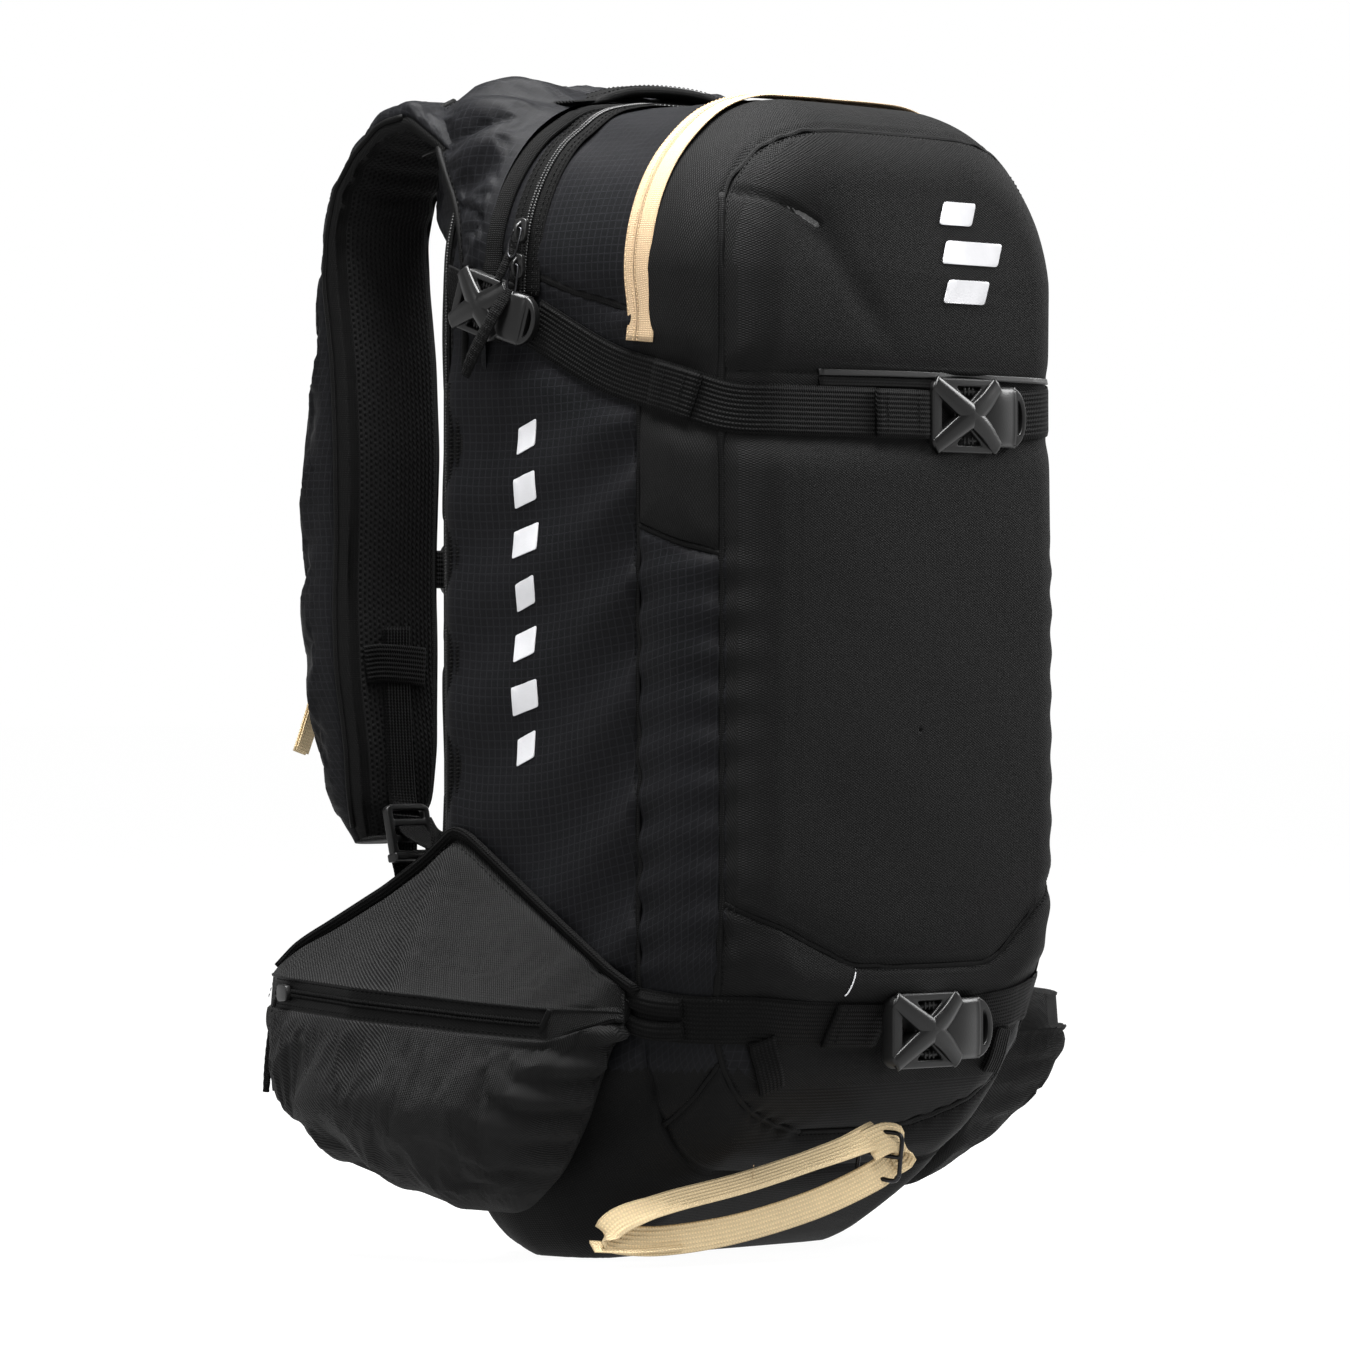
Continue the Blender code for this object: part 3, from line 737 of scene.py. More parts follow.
def arch_line(y, foot, spacing=0.003):
    """A path over the bag at depth y, from foot height on the left side to foot height on the right."""
    ring = bag_ring(y)
    angle = np.arctan2(ring[:, 2] - 0.45, ring[:, 0])
    above = (ring[:, 2] > foot) & (ring[:, 2] > 0.19)
    ring, angle = ring[above], angle[above]
    angle = np.where(angle < -math.pi / 2, angle + 2 * math.pi, angle)
    return curve_points(ring[np.argsort(-angle)][::3], spacing)


one_sided = {"front_edge": front_edge, "bottom_edge": bottom_edge, "dart": dart_left, "gusset": gusset_seam,
             "rear": rear_seam, "rear_foot": rear_foot, "side_dart": side_dart}
seams = {name: surface.path(line) for name, line in one_sided.items()}
for name, line in one_sided.items():
    if name != "dart":
        seams[name + "_right"] = surface.path(mirror_x(line))
seams.update({"arch": surface.path(arch_seam), "panel_edge": surface.path(panel_edge),
              "chevron": surface.path(chevron), "bottom_cross": surface.path(bottom_cross),
              "overlap": surface.path(overlap_seam), "overlap_right": surface.path(mirror_x(overlap_seam)),
              "top": surface.path(top_seam), "tan": arch_line(SPLIT, 0.447, 0.006),
              "main": arch_line(MAIN_ZIP_Y, MAIN_ZIP_FOOT, 0.006)})


UPPER_LEFT = [(-HALF, -0.040, 0.4750), (-HALF, -0.0915, 0.4505), (-0.1345, -0.137, 0.4385),
              (-0.124, -0.160, 0.4300), (-0.100, -0.174, 0.4290), (-0.05, -0.178, 0.4290),
              (0.016, -0.178, UPPER_Z)]
UPPER_RIGHT = [(HALF, -0.040, 0.4750), (HALF, -0.0915, 0.4505), (0.1345, -0.137, 0.4385),
               (0.124, -0.160, 0.4345), (0.102, -0.173, 0.4315), (0.066, -0.178, UPPER_Z)]
LOWER_LEFT = [(-HALF, -0.108, 0.1290), (-0.1345, -0.137, 0.1250), (-0.124, -0.160, 0.1225),
              (-0.100, -0.170, 0.1215), (-0.05, -0.172, 0.1190), (-0.012, -0.173, LOWER_Z)]
LOWER_RIGHT = [(HALF, -0.108, 0.1330), (0.1345, -0.137, 0.1310), (0.124, -0.160, 0.1290),
               (0.100, -0.170, 0.1250), (0.032, -0.173, LOWER_Z)]
STRAP_LINES = [surface.path(line) for line in (UPPER_LEFT, UPPER_RIGHT, LOWER_LEFT, LOWER_RIGHT)]
PINCH = 0.0016      # depth of the crease at a seam
SWELL = 0.0035      # how far the panels swell between seams


def dressed(rings):
    """Seam creases, swollen panels and wrinkles pressed into the plain surface."""
    flat = rings.reshape(-1, 3).copy()
    normal = unit(np.cross(np.gradient(rings, axis=1), np.gradient(rings, axis=0))).reshape(-1, 3)
    away = flat - BAG_MIDDLE
    normal *= np.where((normal * away).sum(axis=1) < 0, -1.0, 1.0)[:, None]
    gap = distance_to(flat, list(seams.values()))
    fall = 1 - np.exp(-gap / 0.010)
    x, y, z = flat[:, 0], flat[:, 1], flat[:, 2]
    crest = np.clip((z - 0.50) / 0.07, 0, 1)
    lift = SWELL * fall * (1 - 0.85 * crest) - 0.0020 * crest - PINCH * np.exp(-(gap / 0.0014) ** 2)
    lift += 0.0005 * np.exp(-((gap - 0.0032) / 0.0012) ** 2)
    # gathers along the narrow side gusset and behind it
    side = np.clip((np.abs(x) - 0.100) / 0.03, 0, 1)
    warp = value_noise(flat, 26.0, 3)
    gather = np.sin(z * 2 * math.pi / 0.0215 + 2.4 * warp + y * 38)
    near_seam = np.exp(-gap / 0.016)
    gusset = side * np.clip((0.372 - z) / 0.02, 0, 1) * (y < SPLIT + 0.002)
    lift += 0.0028 * gather * near_seam * gusset * (0.6 + 0.4 * value_noise(flat, 40.0, 5))
    rear = side * (y > SPLIT)
    slant = np.sin((z * 0.9 + y * 0.45) * 2 * math.pi / 0.048 + 2.8 * warp)
    lift += 0.0032 * slant * rear * (0.35 + near_seam) * np.clip((0.50 - z) / 0.05, 0, 1)
    # soft hollows on the front, and folds running from the dart and the upper buckle
    lift += 0.0016 * value_noise(flat, 17.0, 11) * fall + 0.0005 * value_noise(flat, 55.0, 13) * fall
    fold = np.exp(-((x + 0.055 + 0.9 * (z - 0.50)) / 0.012) ** 2) * np.clip((z - 0.452) / 0.03, 0, 1)
    lift -= 0.0012 * fold * (y < SPLIT - 0.03) * np.clip((0.535 - z) / 0.02, 0, 1)
    top = np.clip((z - 0.53) / 0.04, 0, 1)
    crinkle = np.sin(x * 2 * math.pi / 0.036 + 3.0 * warp) * np.sin(y * 30 + 2.0 * warp)
    lift += 0.0010 * top * crinkle * (y > SPLIT)
    press = np.exp(-(np.maximum(0.0, distance_to(flat, STRAP_LINES) - 0.0125) / 0.009) ** 2)
    lift = lift * (1 - press) - 0.0006 * press
    moved = flat + normal * lift[:, None]
    moved[:, 2] = np.maximum(moved[:, 2], 0.0)
    return moved.reshape(rings.shape)


rear_worn, front_worn = dressed(rear_rings), dressed(front_rings)
worn = Surface([rear_worn, front_worn])


def bag_uvs(rings):
    """Lengths round and along the bag; bag_piece puts plain width and height on the flat front."""
    along = np.zeros(rings.shape[:2])
    along[1:] = np.cumsum(np.linalg.norm(np.diff(rings, axis=0), axis=2), axis=0)
    around = np.zeros(rings.shape[:2])
    around[:, 1:] = np.cumsum(np.linalg.norm(np.diff(rings[0], axis=0), axis=1))[None]
    return along, around


def bag_piece(name, rings, shaped, looks, pick):
    """A mesh of part of the bag: rings give its UVs, shaped its form, and pick each face's look."""
    rows, columns = rings.shape[:2]
    faces = np.asarray(grid_faces(rows, columns, True))
    plain = rings.reshape(-1, 3)
    middle = plain[faces].mean(axis=1)
    along, around = bag_uvs(rings)
    lengths = np.stack([around.ravel(), along.ravel()], axis=1)
    corner_uv = lengths[faces].copy()
    wrapped = np.ptp(corner_uv[:, :, 0], axis=1) > 0.3
    corner_uv[wrapped, :, 0] = np.where(corner_uv[wrapped, :, 0] < 0.3, around.max() + 0.004,
                                        corner_uv[wrapped, :, 0])
    first = plain[faces[:, 1]] - plain[faces[:, 0]]
    second = plain[faces[:, 3]] - plain[faces[:, 0]]
    facing = np.abs(unit(np.cross(first, second))[:, 1])
    flat = facing > 0.75
    corner_uv[flat] = plain[faces[flat]][:, :, (0, 2)]
    used, index = np.unique(faces, return_inverse=True)
    faces = index.reshape(faces.shape)
    verts = shaped.reshape(-1, 3)[used]
    made = mesh_piece(name, verts, faces.tolist(), looks[0], corner_uv.reshape(-1, 2), looks)
    made.data.polygons.foreach_set("material_index", pick(middle).astype(np.int32))
    face_outwards(made, 0.00005).data.shade_smooth()
    return made


def front_look(middle):
    x, y, z = middle[:, 0], middle[:, 1], middle[:, 2]
    gusset = (np.abs(x) > EDGE_X - 0.0005) | (y > EDGE_Y + 0.004)
    low_gusset = gusset & (z < 0.372 - 0.33 * (SPLIT - y)) & (z > 0.10)
    sleek = (z < 0.064 + 0.25 * np.abs(x)) | ((z < 0.12) & (y > -0.150))
    return np.where(low_gusset, 1, np.where(sleek, 2, 0))


def rear_look(middle):
    return np.where(middle[:, 2] < 0.10, 2, 1)


def build_bag():
    """The rear compartment with its lining, and the front pocket with its top and lining."""
    looks = [BALLISTIC, RIPSTOP, SLEEK]
    border = bag_ring(BACK - 0.0005, -0.022)
    border[:, 2] = np.maximum(border[:, 2], 0.207)
    last = rear_rings[-1]
    rim = np.asarray([last + (border - last) * share for share in np.linspace(0, 1, 40)[1:]])
    rim[:, :, 1] = BACK - 0.0006
    inner = [border + (0, -0.004, 0)]
    inner += [bag_ring(y, -0.006) for y in np.linspace(BACK - 0.006, SPLIT + 0.006, 12)]
    inner += closing_rings(inner[-1], 18)
    outer = bag_piece("rear_bag", rear_rings, rear_worn, looks, rear_look)
    lip = grid("rear_lip", np.concatenate([rear_worn[-1:], rim]), SLEEK, True)
    lining = grid("lining", np.asarray(inner), LINER, True)
    put(join("rear_bag", [outer, lip, lining]), "pack", "ripstop", "main_shell")
    front = bag_piece("front_pocket", front_rings, front_worn, looks, front_look)
    inside = front_rings[::3, ::3].copy()
    inside -= unit(inside - (0.0, -0.10, 0.30)) * 0.0045
    pocket_lining = grid("pocket_lining", inside, LINER, True)
    piece = join("front_pocket", [front, pocket_lining])
    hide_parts("front_pocket_lower", "front_pocket_top")
    follow_flap(piece)


build_bag()

# ---------------------------------------------------------------- stitches, webbing, zips

STITCH_RADIUS = 0.00028
STITCH_SHARE = 0.62         # the part of each stitch's length that shows


def stitches(name, path, normals, look=None, pitch=0.0034):
    """A row of thread: short raised capsules along a path that lies on cloth."""
    step = curve_points(path, pitch)
    verts, faces, uvs = [], [], []
    ring = round_section(STITCH_RADIUS, 5)
    for i in range(len(step) - 1):
        a = step[i]
        b = a + (step[i + 1] - a) * STITCH_SHARE
        run = unit((b - a)[None])[0]
        out = np.asarray(normals(a) if callable(normals) else normals, dtype=float)
        side = np.cross(run, out)
        base = len(verts)
        for k, (point, size, dip) in enumerate(((a, 0.4, 1), (a * 0.7 + b * 0.3, 1, 0),
                                                (a * 0.3 + b * 0.7, 1, 0), (b, 0.4, 1))):
            for s, t in ring:
                verts.append(point + side * s * size + out * (t * size - dip * STITCH_RADIUS))
                uvs.append((k * 0.001, s))
        faces += [tuple(base + j for j in f) for f in grid_faces(4, 5, True)]
        faces += [tuple(base + j for j in range(4, -1, -1)), tuple(base + 15 + j for j in range(5))]
    return mesh_piece(name, verts, faces, look or THREAD, uvs)


def normals_along(path, normals):
    """One normal for each point; normals is a function of a point, or one vector for all."""
    return np.asarray([normals(p) if callable(normals) else normals for p in path], dtype=float)


def offset_path(path, normals, shift, lift=0.0):
    """A path moved sideways over the surface and raised off it."""
    out = normals_along(path, normals)
    return path + np.cross(tangents(path), out) * shift + out * lift


def beads(name, path, normals, shift, radius, pitch, look):
    """One side of a zip's coil: a tube that swells once for each tooth."""
    line = curve_points(offset_path(path, normals, shift, radius * 0.7), pitch / 4)
    swell = 0.78 + 0.32 * np.sin(np.arange(len(line)) * math.pi / 2)
    section = round_section(radius, 6)[None] * swell[:, None, None]
    section = section * np.asarray([1.25, 0.8])
    upright = abs(tangents(line)[0][2]) >= 0.7
    return sweep(name, line, (0.0, 1.0, 0.01) if upright else (0.013, 0.017, 1.0), section, look)


def ribbon(name, path, normals, shift, width, look, lift=0.0006, thickness=0.0009):
    """A flat tape laid on the surface, shifted sideways from path."""
    line = offset_path(path, normals, shift, lift)
    return on_bag(name, line, flat_section(width, thickness, 6), look, normals)


def bag_normal(point):
    return np.asarray(surface.nearest(point)[1])


def on_bag(name, line, section, look, normals=bag_normal):
    """A section carried along a line, with its width lying on the surface."""
    return sweep(name, line, unit(np.cross(tangents(line), normals_along(line, normals))), section, look)


def build_zips():
    """The main zip, the tan zip with its two ribbons, the knitted band and the back zip."""
    lifted = laid(arch_line(MAIN_ZIP_Y, MAIN_ZIP_FOOT), 0.0022, 0.003)
    pieces = [ribbon("main_zip", lifted, bag_normal, 0.0, 0.022, TAPE, -0.0002)]
    pieces += [beads("coil", lifted, bag_normal, side * 0.0012, 0.0011, 0.0016, PLASTIC) for side in (-1, 1)]
    for shift in (-0.0065, 0.0065, -0.0095, 0.0095):
        pieces.append(stitches("row", offset_path(lifted, bag_normal, shift, 0.0008), bag_normal))
    put(join("main_zip", pieces), "pack", "webbing", "main_zip")

    raised = smoothed(laid(arch_line(SPLIT, TAN_ZIP_FOOT), 0.0034, 0.003), 16)[4:-4]
    rear = [ribbon("tan_rear", raised, bag_normal, -0.0034, 0.0062, TAN_TAPE, 0.0004, 0.0012),
            stitches("row", offset_path(raised, bag_normal, -0.0014, 0.0011), bag_normal, TAN_THREAD, 0.0019),
            stitches("row", offset_path(raised, bag_normal, -0.0054, 0.0011), bag_normal, TAN_THREAD, 0.0030)]
    put(join("front_zip", rear), "pack", "tan", "front_zip")
    fore = [ribbon("tan_fore", raised, bag_normal, 0.0058, 0.0112, TAN_TAPE, 0.0004, 0.0012),
            stitches("row", offset_path(raised, bag_normal, 0.0012, 0.0011), bag_normal, TAN_THREAD, 0.0019)]
    piece = join("front_zip_fore", fore)
    follow_flap(piece)

    band = laid(arch_line(-0.012, 0.497), 0.0016, 0.003)
    put(on_bag("edge_band", band, round_section(1.0, 14) * (0.0060, 0.0024), KNIT), "pack", "webbing")

    back = arch_line(BACK - 0.004, 0.205)
    back[:, 1] = BACK + 0.0004
    # the half on the door stops above the hinge seam, sits further back and is smaller than the bag's
    for name, body, lowest, setback, spread in (("back_zip_shell", "pack", 0.0, 0.0, 0.001),
                                                ("back_zip_door", "back_door", 0.222, 0.0014, -0.0016)):
        line = back[back[:, 2] > lowest]
        line[:, 1] += setback
        outward = unit((line - (0, 0, 0.40)) * (1, 0, 1))
        line = line + outward * spread
        tape = sweep(name, line, (0, 1, 0), flat_section(0.004, 0.0012, 6), TAPE)
        chain = curve_points(line + outward * 0.0006, 0.0004)
        swell = 0.8 + 0.3 * np.sin(np.arange(len(chain)) * math.pi / 2)
        coil = sweep("coil", chain, (0, 1, 0), round_section(0.0009, 6)[None] * swell[:, None, None], PLASTIC)
        put(join(name, [tape, coil]), body, "webbing")


def slider_parts(name, matrix):
    """A slider: body, arched bridge and wire bail, with X along the zip and Z out of it."""
    outline = [(-0.0062, -0.0030), (-0.0035, -0.0046), (0.0055, -0.0040), (0.0068, 0.0), (0.0055, 0.0040),
               (-0.0035, 0.0046), (-0.0062, 0.0030)]
    body = bevelled(name, rounded(outline, 0.0015), 0.0030, PLASTIC, 0.0006)
    arch = [(-0.0045, 0, 0.0008), (-0.0030, 0, 0.0030), (0.0010, 0, 0.0036), (0.0042, 0, 0.0008)]
    bridge = cord_piece("bridge", arch, 0.0010, PLASTIC, 0.0006)
    loop = [(0.0, 0.0024, 0.0026), (-0.006, 0.0032, 0.0036), (-0.0125, 0.0026, 0.0040), (-0.0150, 0, 0.0041),
            (-0.0125, -0.0026, 0.0040), (-0.006, -0.0032, 0.0036), (0.0, -0.0024, 0.0026),
            (0.0006, 0, 0.0028), (0.0, 0.0024, 0.0026)]
    parts = [body, bridge, cord_piece("bail", loop, 0.0006, WIRE, 0.0008)]
    return [transform(part, matrix) for part in parts]


def braided_pull(name, points, across, width=0.0052):
    """A flat braided pull that ripples along its length and narrows at both ends."""
    line = curve_points(points, 0.0009)
    count = len(line)
    wave = 0.5 + 0.5 * np.sin(np.arange(count) * math.pi / 2.4)
    taper = np.interp(np.linspace(0, 1, count), [0, 0.12, 0.8, 1.0], [0.45, 1.0, 1.0, 0.75])
    scale = np.stack([width / 2 * taper, (0.0013 + 0.0005 * wave) * np.ones(count)], axis=1)
    return sweep(name, line, across, round_section(1.0, 12)[None] * scale[:, None], KNIT)


def hung(start, steps):
    """A route given by its steps away from a starting point."""
    return [start + Vector(step) for step in steps]


SHORT_HANG = [(-0.0005, 0.002, -0.010), (-0.0035, 0.004, -0.018), (-0.0055, 0.007, -0.026)]
LONG_HANG = [(-0.001, 0.001, -0.012), (-0.0065, 0.006, -0.024), (-0.0085, 0.013, -0.036),
             (-0.0090, 0.020, -0.047), (-0.0080, 0.025, -0.055)]


def build_sliders():
    """The main zip's two sliders at the left top corner, and the tan zip's slider at the right one."""
    for place, degrees, steps, width in (("upper", 167, SHORT_HANG, 0.0050),
                                         ("lower", 178, LONG_HANG, 0.0078)):
        name = "main_zip_slider_" + place
        angle = math.radians(degrees)
        radius = TOP_RADIUS + 0.0052
        centre = Vector((TOP_RADIUS - HALF, MAIN_ZIP_Y, TOP - TOP_RADIUS))
        out = Vector((math.cos(angle), 0, math.sin(angle)))
        run = Vector((-math.sin(angle), 0, math.cos(angle))) * -1
        parts = slider_parts(name, basis(run, out.cross(run), centre + out * radius))
        parts.append(braided_pull("pull", hung(centre + out * (radius + 0.004), steps), (0, 1, 0.4), width))
        put(join(name, parts), "main_slider_" + place, "plastic", name)
    angle = math.radians(8)
    out = Vector((math.cos(angle), 0, math.sin(angle)))
    run = Vector((math.sin(angle), 0, -math.cos(angle)))
    centre = Vector((HALF - TOP_RADIUS, centre_of("front_zip_slider", 1), TOP - TOP_RADIUS))
    place = centre + out * (TOP_RADIUS + 0.0045)
    parts = slider_parts("front_zip_slider", basis(run, (0, -1, 0), place))
    route = [place + out * away + Vector((0, 0, -drop)) for away, drop in
             ((0.004, 0.012), (0.005, 0.030), (0.003, 0.045))]
    parts.append(braided_pull("pull", route, (0, 1, 0)))
    put(join("front_zip_slider", parts), "front_slider", "plastic", "front_zip_slider")


# ---------------------------------------------------------------- compression straps and buckles

def laid(points, lift, spacing=0.004):
    """A path that lies on the finished bag, with its small unevenness smoothed out."""
    return smoothed(worn.path(surface.path(points, spacing), spacing, lift), 3)


def strap_piece(name, points, body, node, lift=0.0012, loop_at=None, tongue=None):
    """Webbing laid on the bag. loop_at gives its doubled lengths; if tongue is given, it is baked in place
    and put on no body.
    """
    line = laid(points, lift)
    out = normals_along(line, bag_normal)
    parts = [on_bag(name, line, flat_section(WEB_WIDTH, WEB), WEBBING)]
    length = run_lengths(line)
    for place, reach in loop_at or ():
        chosen = (length > length[-1] * place - reach) & (length < length[-1] * place + reach)
        double = line[chosen] + out[chosen] * 0.0018
        side = unit(np.cross(tangents(double), out[chosen]))
        parts.append(sweep("double", double, side, flat_section(0.0246, 0.0018), WEBBING))
        for end in (2, -3):
            row = np.asarray([double[end] + side[end] * t + out[chosen][end] * 0.0011
                              for t in np.linspace(-0.0105, 0.0105, 8)])
            parts.append(stitches("box", row, tuple(out[chosen][end]), None, 0.0026))
    if not tongue:
        return put(join(name, parts), body, "webbing", node)
    piece = join(name, parts)
    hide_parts(node)
    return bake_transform(piece)


def buckle_parts(length, tongue, width, thick=0.0085):
    """A side-release buckle's body and tongue, X along the run, Z outwards, body starting at 0."""
    half = width / 2
    outline = rounded([(0.0, -0.80 * half), (0.10 * length, -half), (0.93 * length, -half),
                       (length, -0.80 * half), (length, -0.55 * half), (0.66 * length, -0.10 * half),
                       (0.66 * length, 0.10 * half), (length, 0.55 * half), (length, 0.80 * half),
                       (0.93 * length, half), (0.10 * length, half), (0.0, 0.80 * half)], 0.08 * width)
    windows = [rounded([(0.14 * length, -0.42 * half), (0.35 * length, 0.0), (0.14 * length, 0.42 * half)],
                       0.0022)]
    for side in (-1, 1):
        windows.append(rounded([(0.35 * length, side * 0.78 * half), (0.74 * length, side * 0.78 * half),
                                (0.545 * length, side * 0.34 * half)][::side], 0.0022))
    body = bevelled("body", outline, thick, PLASTIC, 0.0012, windows, 3)
    cross = [body]
    for side in (-1, 1):
        arm = [(0.04 * length, side * 0.86 * half, thick * 0.40),
               (0.30 * length, side * 0.40 * half, thick * 0.60), (0.54 * length, 0.0, thick * 0.70),
               (0.76 * length, -side * 0.38 * half, thick * 0.62),
               (0.97 * length, -side * 0.84 * half, thick * 0.42)]
        line = curve_points(arm, 0.001)
        grow = np.interp(np.linspace(0, 1, len(line)), [0, 0.5, 1], [0.0044, 0.0062, 0.0048])
        section = round_section(1.0, 10) * (1.0, 0.36)
        cross.append(sweep("arm", line, (0, 0, 1), (section[:, ::-1][None] * grow[:, None, None]), GLOSS))
    female = join("female", cross)

    parts = []
    stations = np.linspace(0.70 * length, length + tongue * 0.62, 22)
    rings = []
    for i, x in enumerate(stations):
        share = i / (len(stations) - 1)
        wide = half * (0.30 + 0.52 * min(1.0, share / 0.38))
        rise = thick * (0.36 + 0.30 * math.sin(math.pi * min(1.0, share * 1.1)))
        ys = np.linspace(-wide, wide, 12)
        crown = rise * (1 - 0.35 * (ys / wide) ** 4)
        upper = np.stack([np.full(12, x), ys, crown], axis=1)
        lower = np.stack([np.full(12, x), ys[::-1], np.full(12, -thick * 0.32)], axis=1)
        rings.append(np.vstack([upper, lower]))
    parts.append(grid("saddle", rings, GLOSS, True, None, True))
    x0 = length + tongue * 0.52
    x1 = length + tongue
    cap = [(x0, -0.80 * half)] + [(x0 + (x1 - x0) * math.sin(a), -0.82 * half * math.cos(a))
                                  for a in np.linspace(0.25, math.pi - 0.25, 14)] + [(x0, 0.80 * half)]
    moon_x = x0 + 0.42 * (x1 - x0)
    moon = [(moon_x, -0.46 * half)] + [(moon_x + 0.30 * (x1 - x0) * math.sin(a), -0.46 * half * math.cos(a))
                                       for a in np.linspace(0.2, math.pi - 0.2, 10)] + [(moon_x, 0.46 * half)]
    parts.append(bevelled("end", cap, thick * 0.55, GLOSS, 0.0010, [moon[::-1]], 3))
    for side in (-1, 1):
        arm = [(0.98 * length, side * 0.42 * half, 0), (0.80 * length, side * 0.56 * half, 0),
               (0.62 * length, side * 0.66 * half, 0.0004), (0.47 * length, side * 0.62 * half, 0),
               (0.38 * length, side * 0.50 * half, 0)]
        line = curve_points(arm, 0.0012)
        parts.append(sweep("prong", line, (0, 0, 1), round_section(1.0, 8) * (0.0024, 0.0020), PLASTIC))
        for k in range(3):
            x = (0.50 + 0.06 * k) * length
            parts.append(block("rib", (x - 0.0006, side * 0.66 * half - 0.0022, -0.0024),
                               (x + 0.0006, side * 0.66 * half + 0.0022, 0.0030), PLASTIC, 0.0003, 1))
    return female, join("male", parts)


def place_buckle(label, length, tongue, width, matrix, base_body, tongue_body):
    female, male = buckle_parts(length, tongue, width)
    transform(female, matrix).name = label + "_body"
    transform(male, matrix).name = label + "_tongue"
    put(female, base_body, "plastic", label + "_body")
    put(male, tongue_body, "plastic", label + "_tongue")


def build_compression():
    """The two straps over the front, and the two buckles on the sides, with all their webbing."""
    strap_piece("upper_strap_left", UPPER_LEFT, "pack", "upper_strap_left", 0.0012,
                ((0.37, 0.016), (0.90, 0.022)))
    strap_piece("upper_strap_right", UPPER_RIGHT, "pack", "upper_strap_right", tongue="upper_tongue")
    strap_piece("lower_strap_left", LOWER_LEFT, "pack", "lower_strap_left", 0.0012, ((0.86, 0.022),))
    strap_piece("lower_strap_right", LOWER_RIGHT, "pack", "lower_strap_right", tongue="lower_tongue")
    for level, tongue in (("upper", 0.024), ("lower", 0.028)):
        low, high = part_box(level + "_buckle_body")
        place = Vector((low[0], (low[1] + high[1]) / 2 + 0.0006, (low[2] + high[2]) / 2))
        place_buckle(level + "_buckle", high[0] - low[0], tongue, 0.038, basis((1, 0, 0), (0, 0, 1), place),
                     "pack", level + "_tongue")
    for side, word in ((-1, "left"), (1, "right")):
        run = Vector((0, -0.951, -0.309))
        place = Vector((centre_of(word + "_side_buckle_body", 0), 0.006, 0.490))
        place_buckle(word + "_side_buckle", 0.034, 0.022, 0.031,
                     basis(run, Vector((0, -0.309, 0.951)) * -side, place), "pack", word + "_side_tongue")
        anchor = [(side * (HALF + 0.001), 0.020, 0.4945), (side * (HALF + 0.0035), 0.010, 0.4915),
                  (side * (HALF + 0.006), 0.002, 0.4890)]
        put(webbing(word + "_side_anchor", anchor, (0, 0.309, 0.951), None, 0.024), "pack", "webbing")


def build_marks():
    """Reflective prints: three slanted bars on the front, and a column of dashes on the left side."""
    def printed(name, outline, matrix, body):
        piece = bevelled(name, outline, 0.0005, PRINT, 0.0001, (), 1)
        bm = bmesh.new()
        bm.from_mesh(piece.data)
        bmesh.ops.triangulate(bm, faces=bm.faces)
        bmesh.ops.subdivide_edges(bm, edges=bm.edges, cuts=3, use_grid_fill=True)
        for vert in bm.verts:
            flat = matrix @ Vector((vert.co.x, vert.co.y, 0))
            vert.co = Vector(worn.on(flat, 0.0003 + vert.co.z))
        bm.to_mesh(piece.data)
        bm.free()
        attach(piece, body)

    front = basis((1, 0, 0), (0, 0, 1), (0.042, -0.178, 0.512))
    for k, length in enumerate((0.026, 0.046, 0.034)):
        z = 0.020 - 0.020 * k
        bar = rounded([(-0.022, z - 0.006), (length - 0.022, z - 0.006), (length - 0.017, z + 0.006),
                       (-0.017, z + 0.006)], 0.0022, 3)
        printed("front_mark_%d" % k, bar, front, "front_flap")
    side = basis((0, -1, 0), (0, 0, 1), (-HALF, -0.037, 0.338))
    for k in range(7):
        size = 0.0060 + 0.0012 * (k % 3)
        z = 0.079 - 0.0262 * k
        dash = rounded([(-size, z - 0.0095), (size, z - 0.0045), (size, z + 0.0095), (-size, z + 0.0045)],
                       0.001, 2)
        printed("side_mark_%d" % k, dash, side, "pack")


build_zips()
build_sliders()
build_compression()
build_marks()


# ---------------------------------------------------------------- harness

def profile(table, value):
    """A value read off a list of (where, what) pairs, smoothly."""
    where, what = zip(*sorted(table))
    dense = np.linspace(where[0], where[-1], 241)
    line = np.interp(dense, where, what)
    kernel = np.ones(9) / 9
    soft = np.convolve(np.pad(line, 4, mode="edge"), kernel, mode="valid")
    return np.interp(value, dense, soft)


# the strap in side view: its inner face and its outer face as (y, z)
STRAP_INNER = [(0.026, 0.548), (0.044, 0.566), (0.060, 0.5765), (0.0787, 0.573), (0.097, 0.561),
               (0.109, 0.5455), (0.1139, 0.524), (0.1118, 0.496), (0.1065, 0.459), (0.104, 0.414),
               (0.104, 0.378), (0.1055, 0.336), (0.104, 0.2976), (0.100, 0.2600), (0.100, 0.229),
               (0.106, 0.213)]
STRAP_OUTER = [(0.023, 0.560), (0.042, 0.5785), (0.062, 0.5945), (0.084, 0.590), (0.106, 0.573),
               (0.1215, 0.552), (0.1290, 0.524), (0.1345, 0.496), (0.1410, 0.459), (0.1490, 0.414),
               (0.1525, 0.378), (0.1525, 0.336), (0.1495, 0.2976), (0.1430, 0.2600), (0.1310, 0.228),
               (0.120, 0.2085)]
PAD = 0.0105        # thickness of the strap's own padding


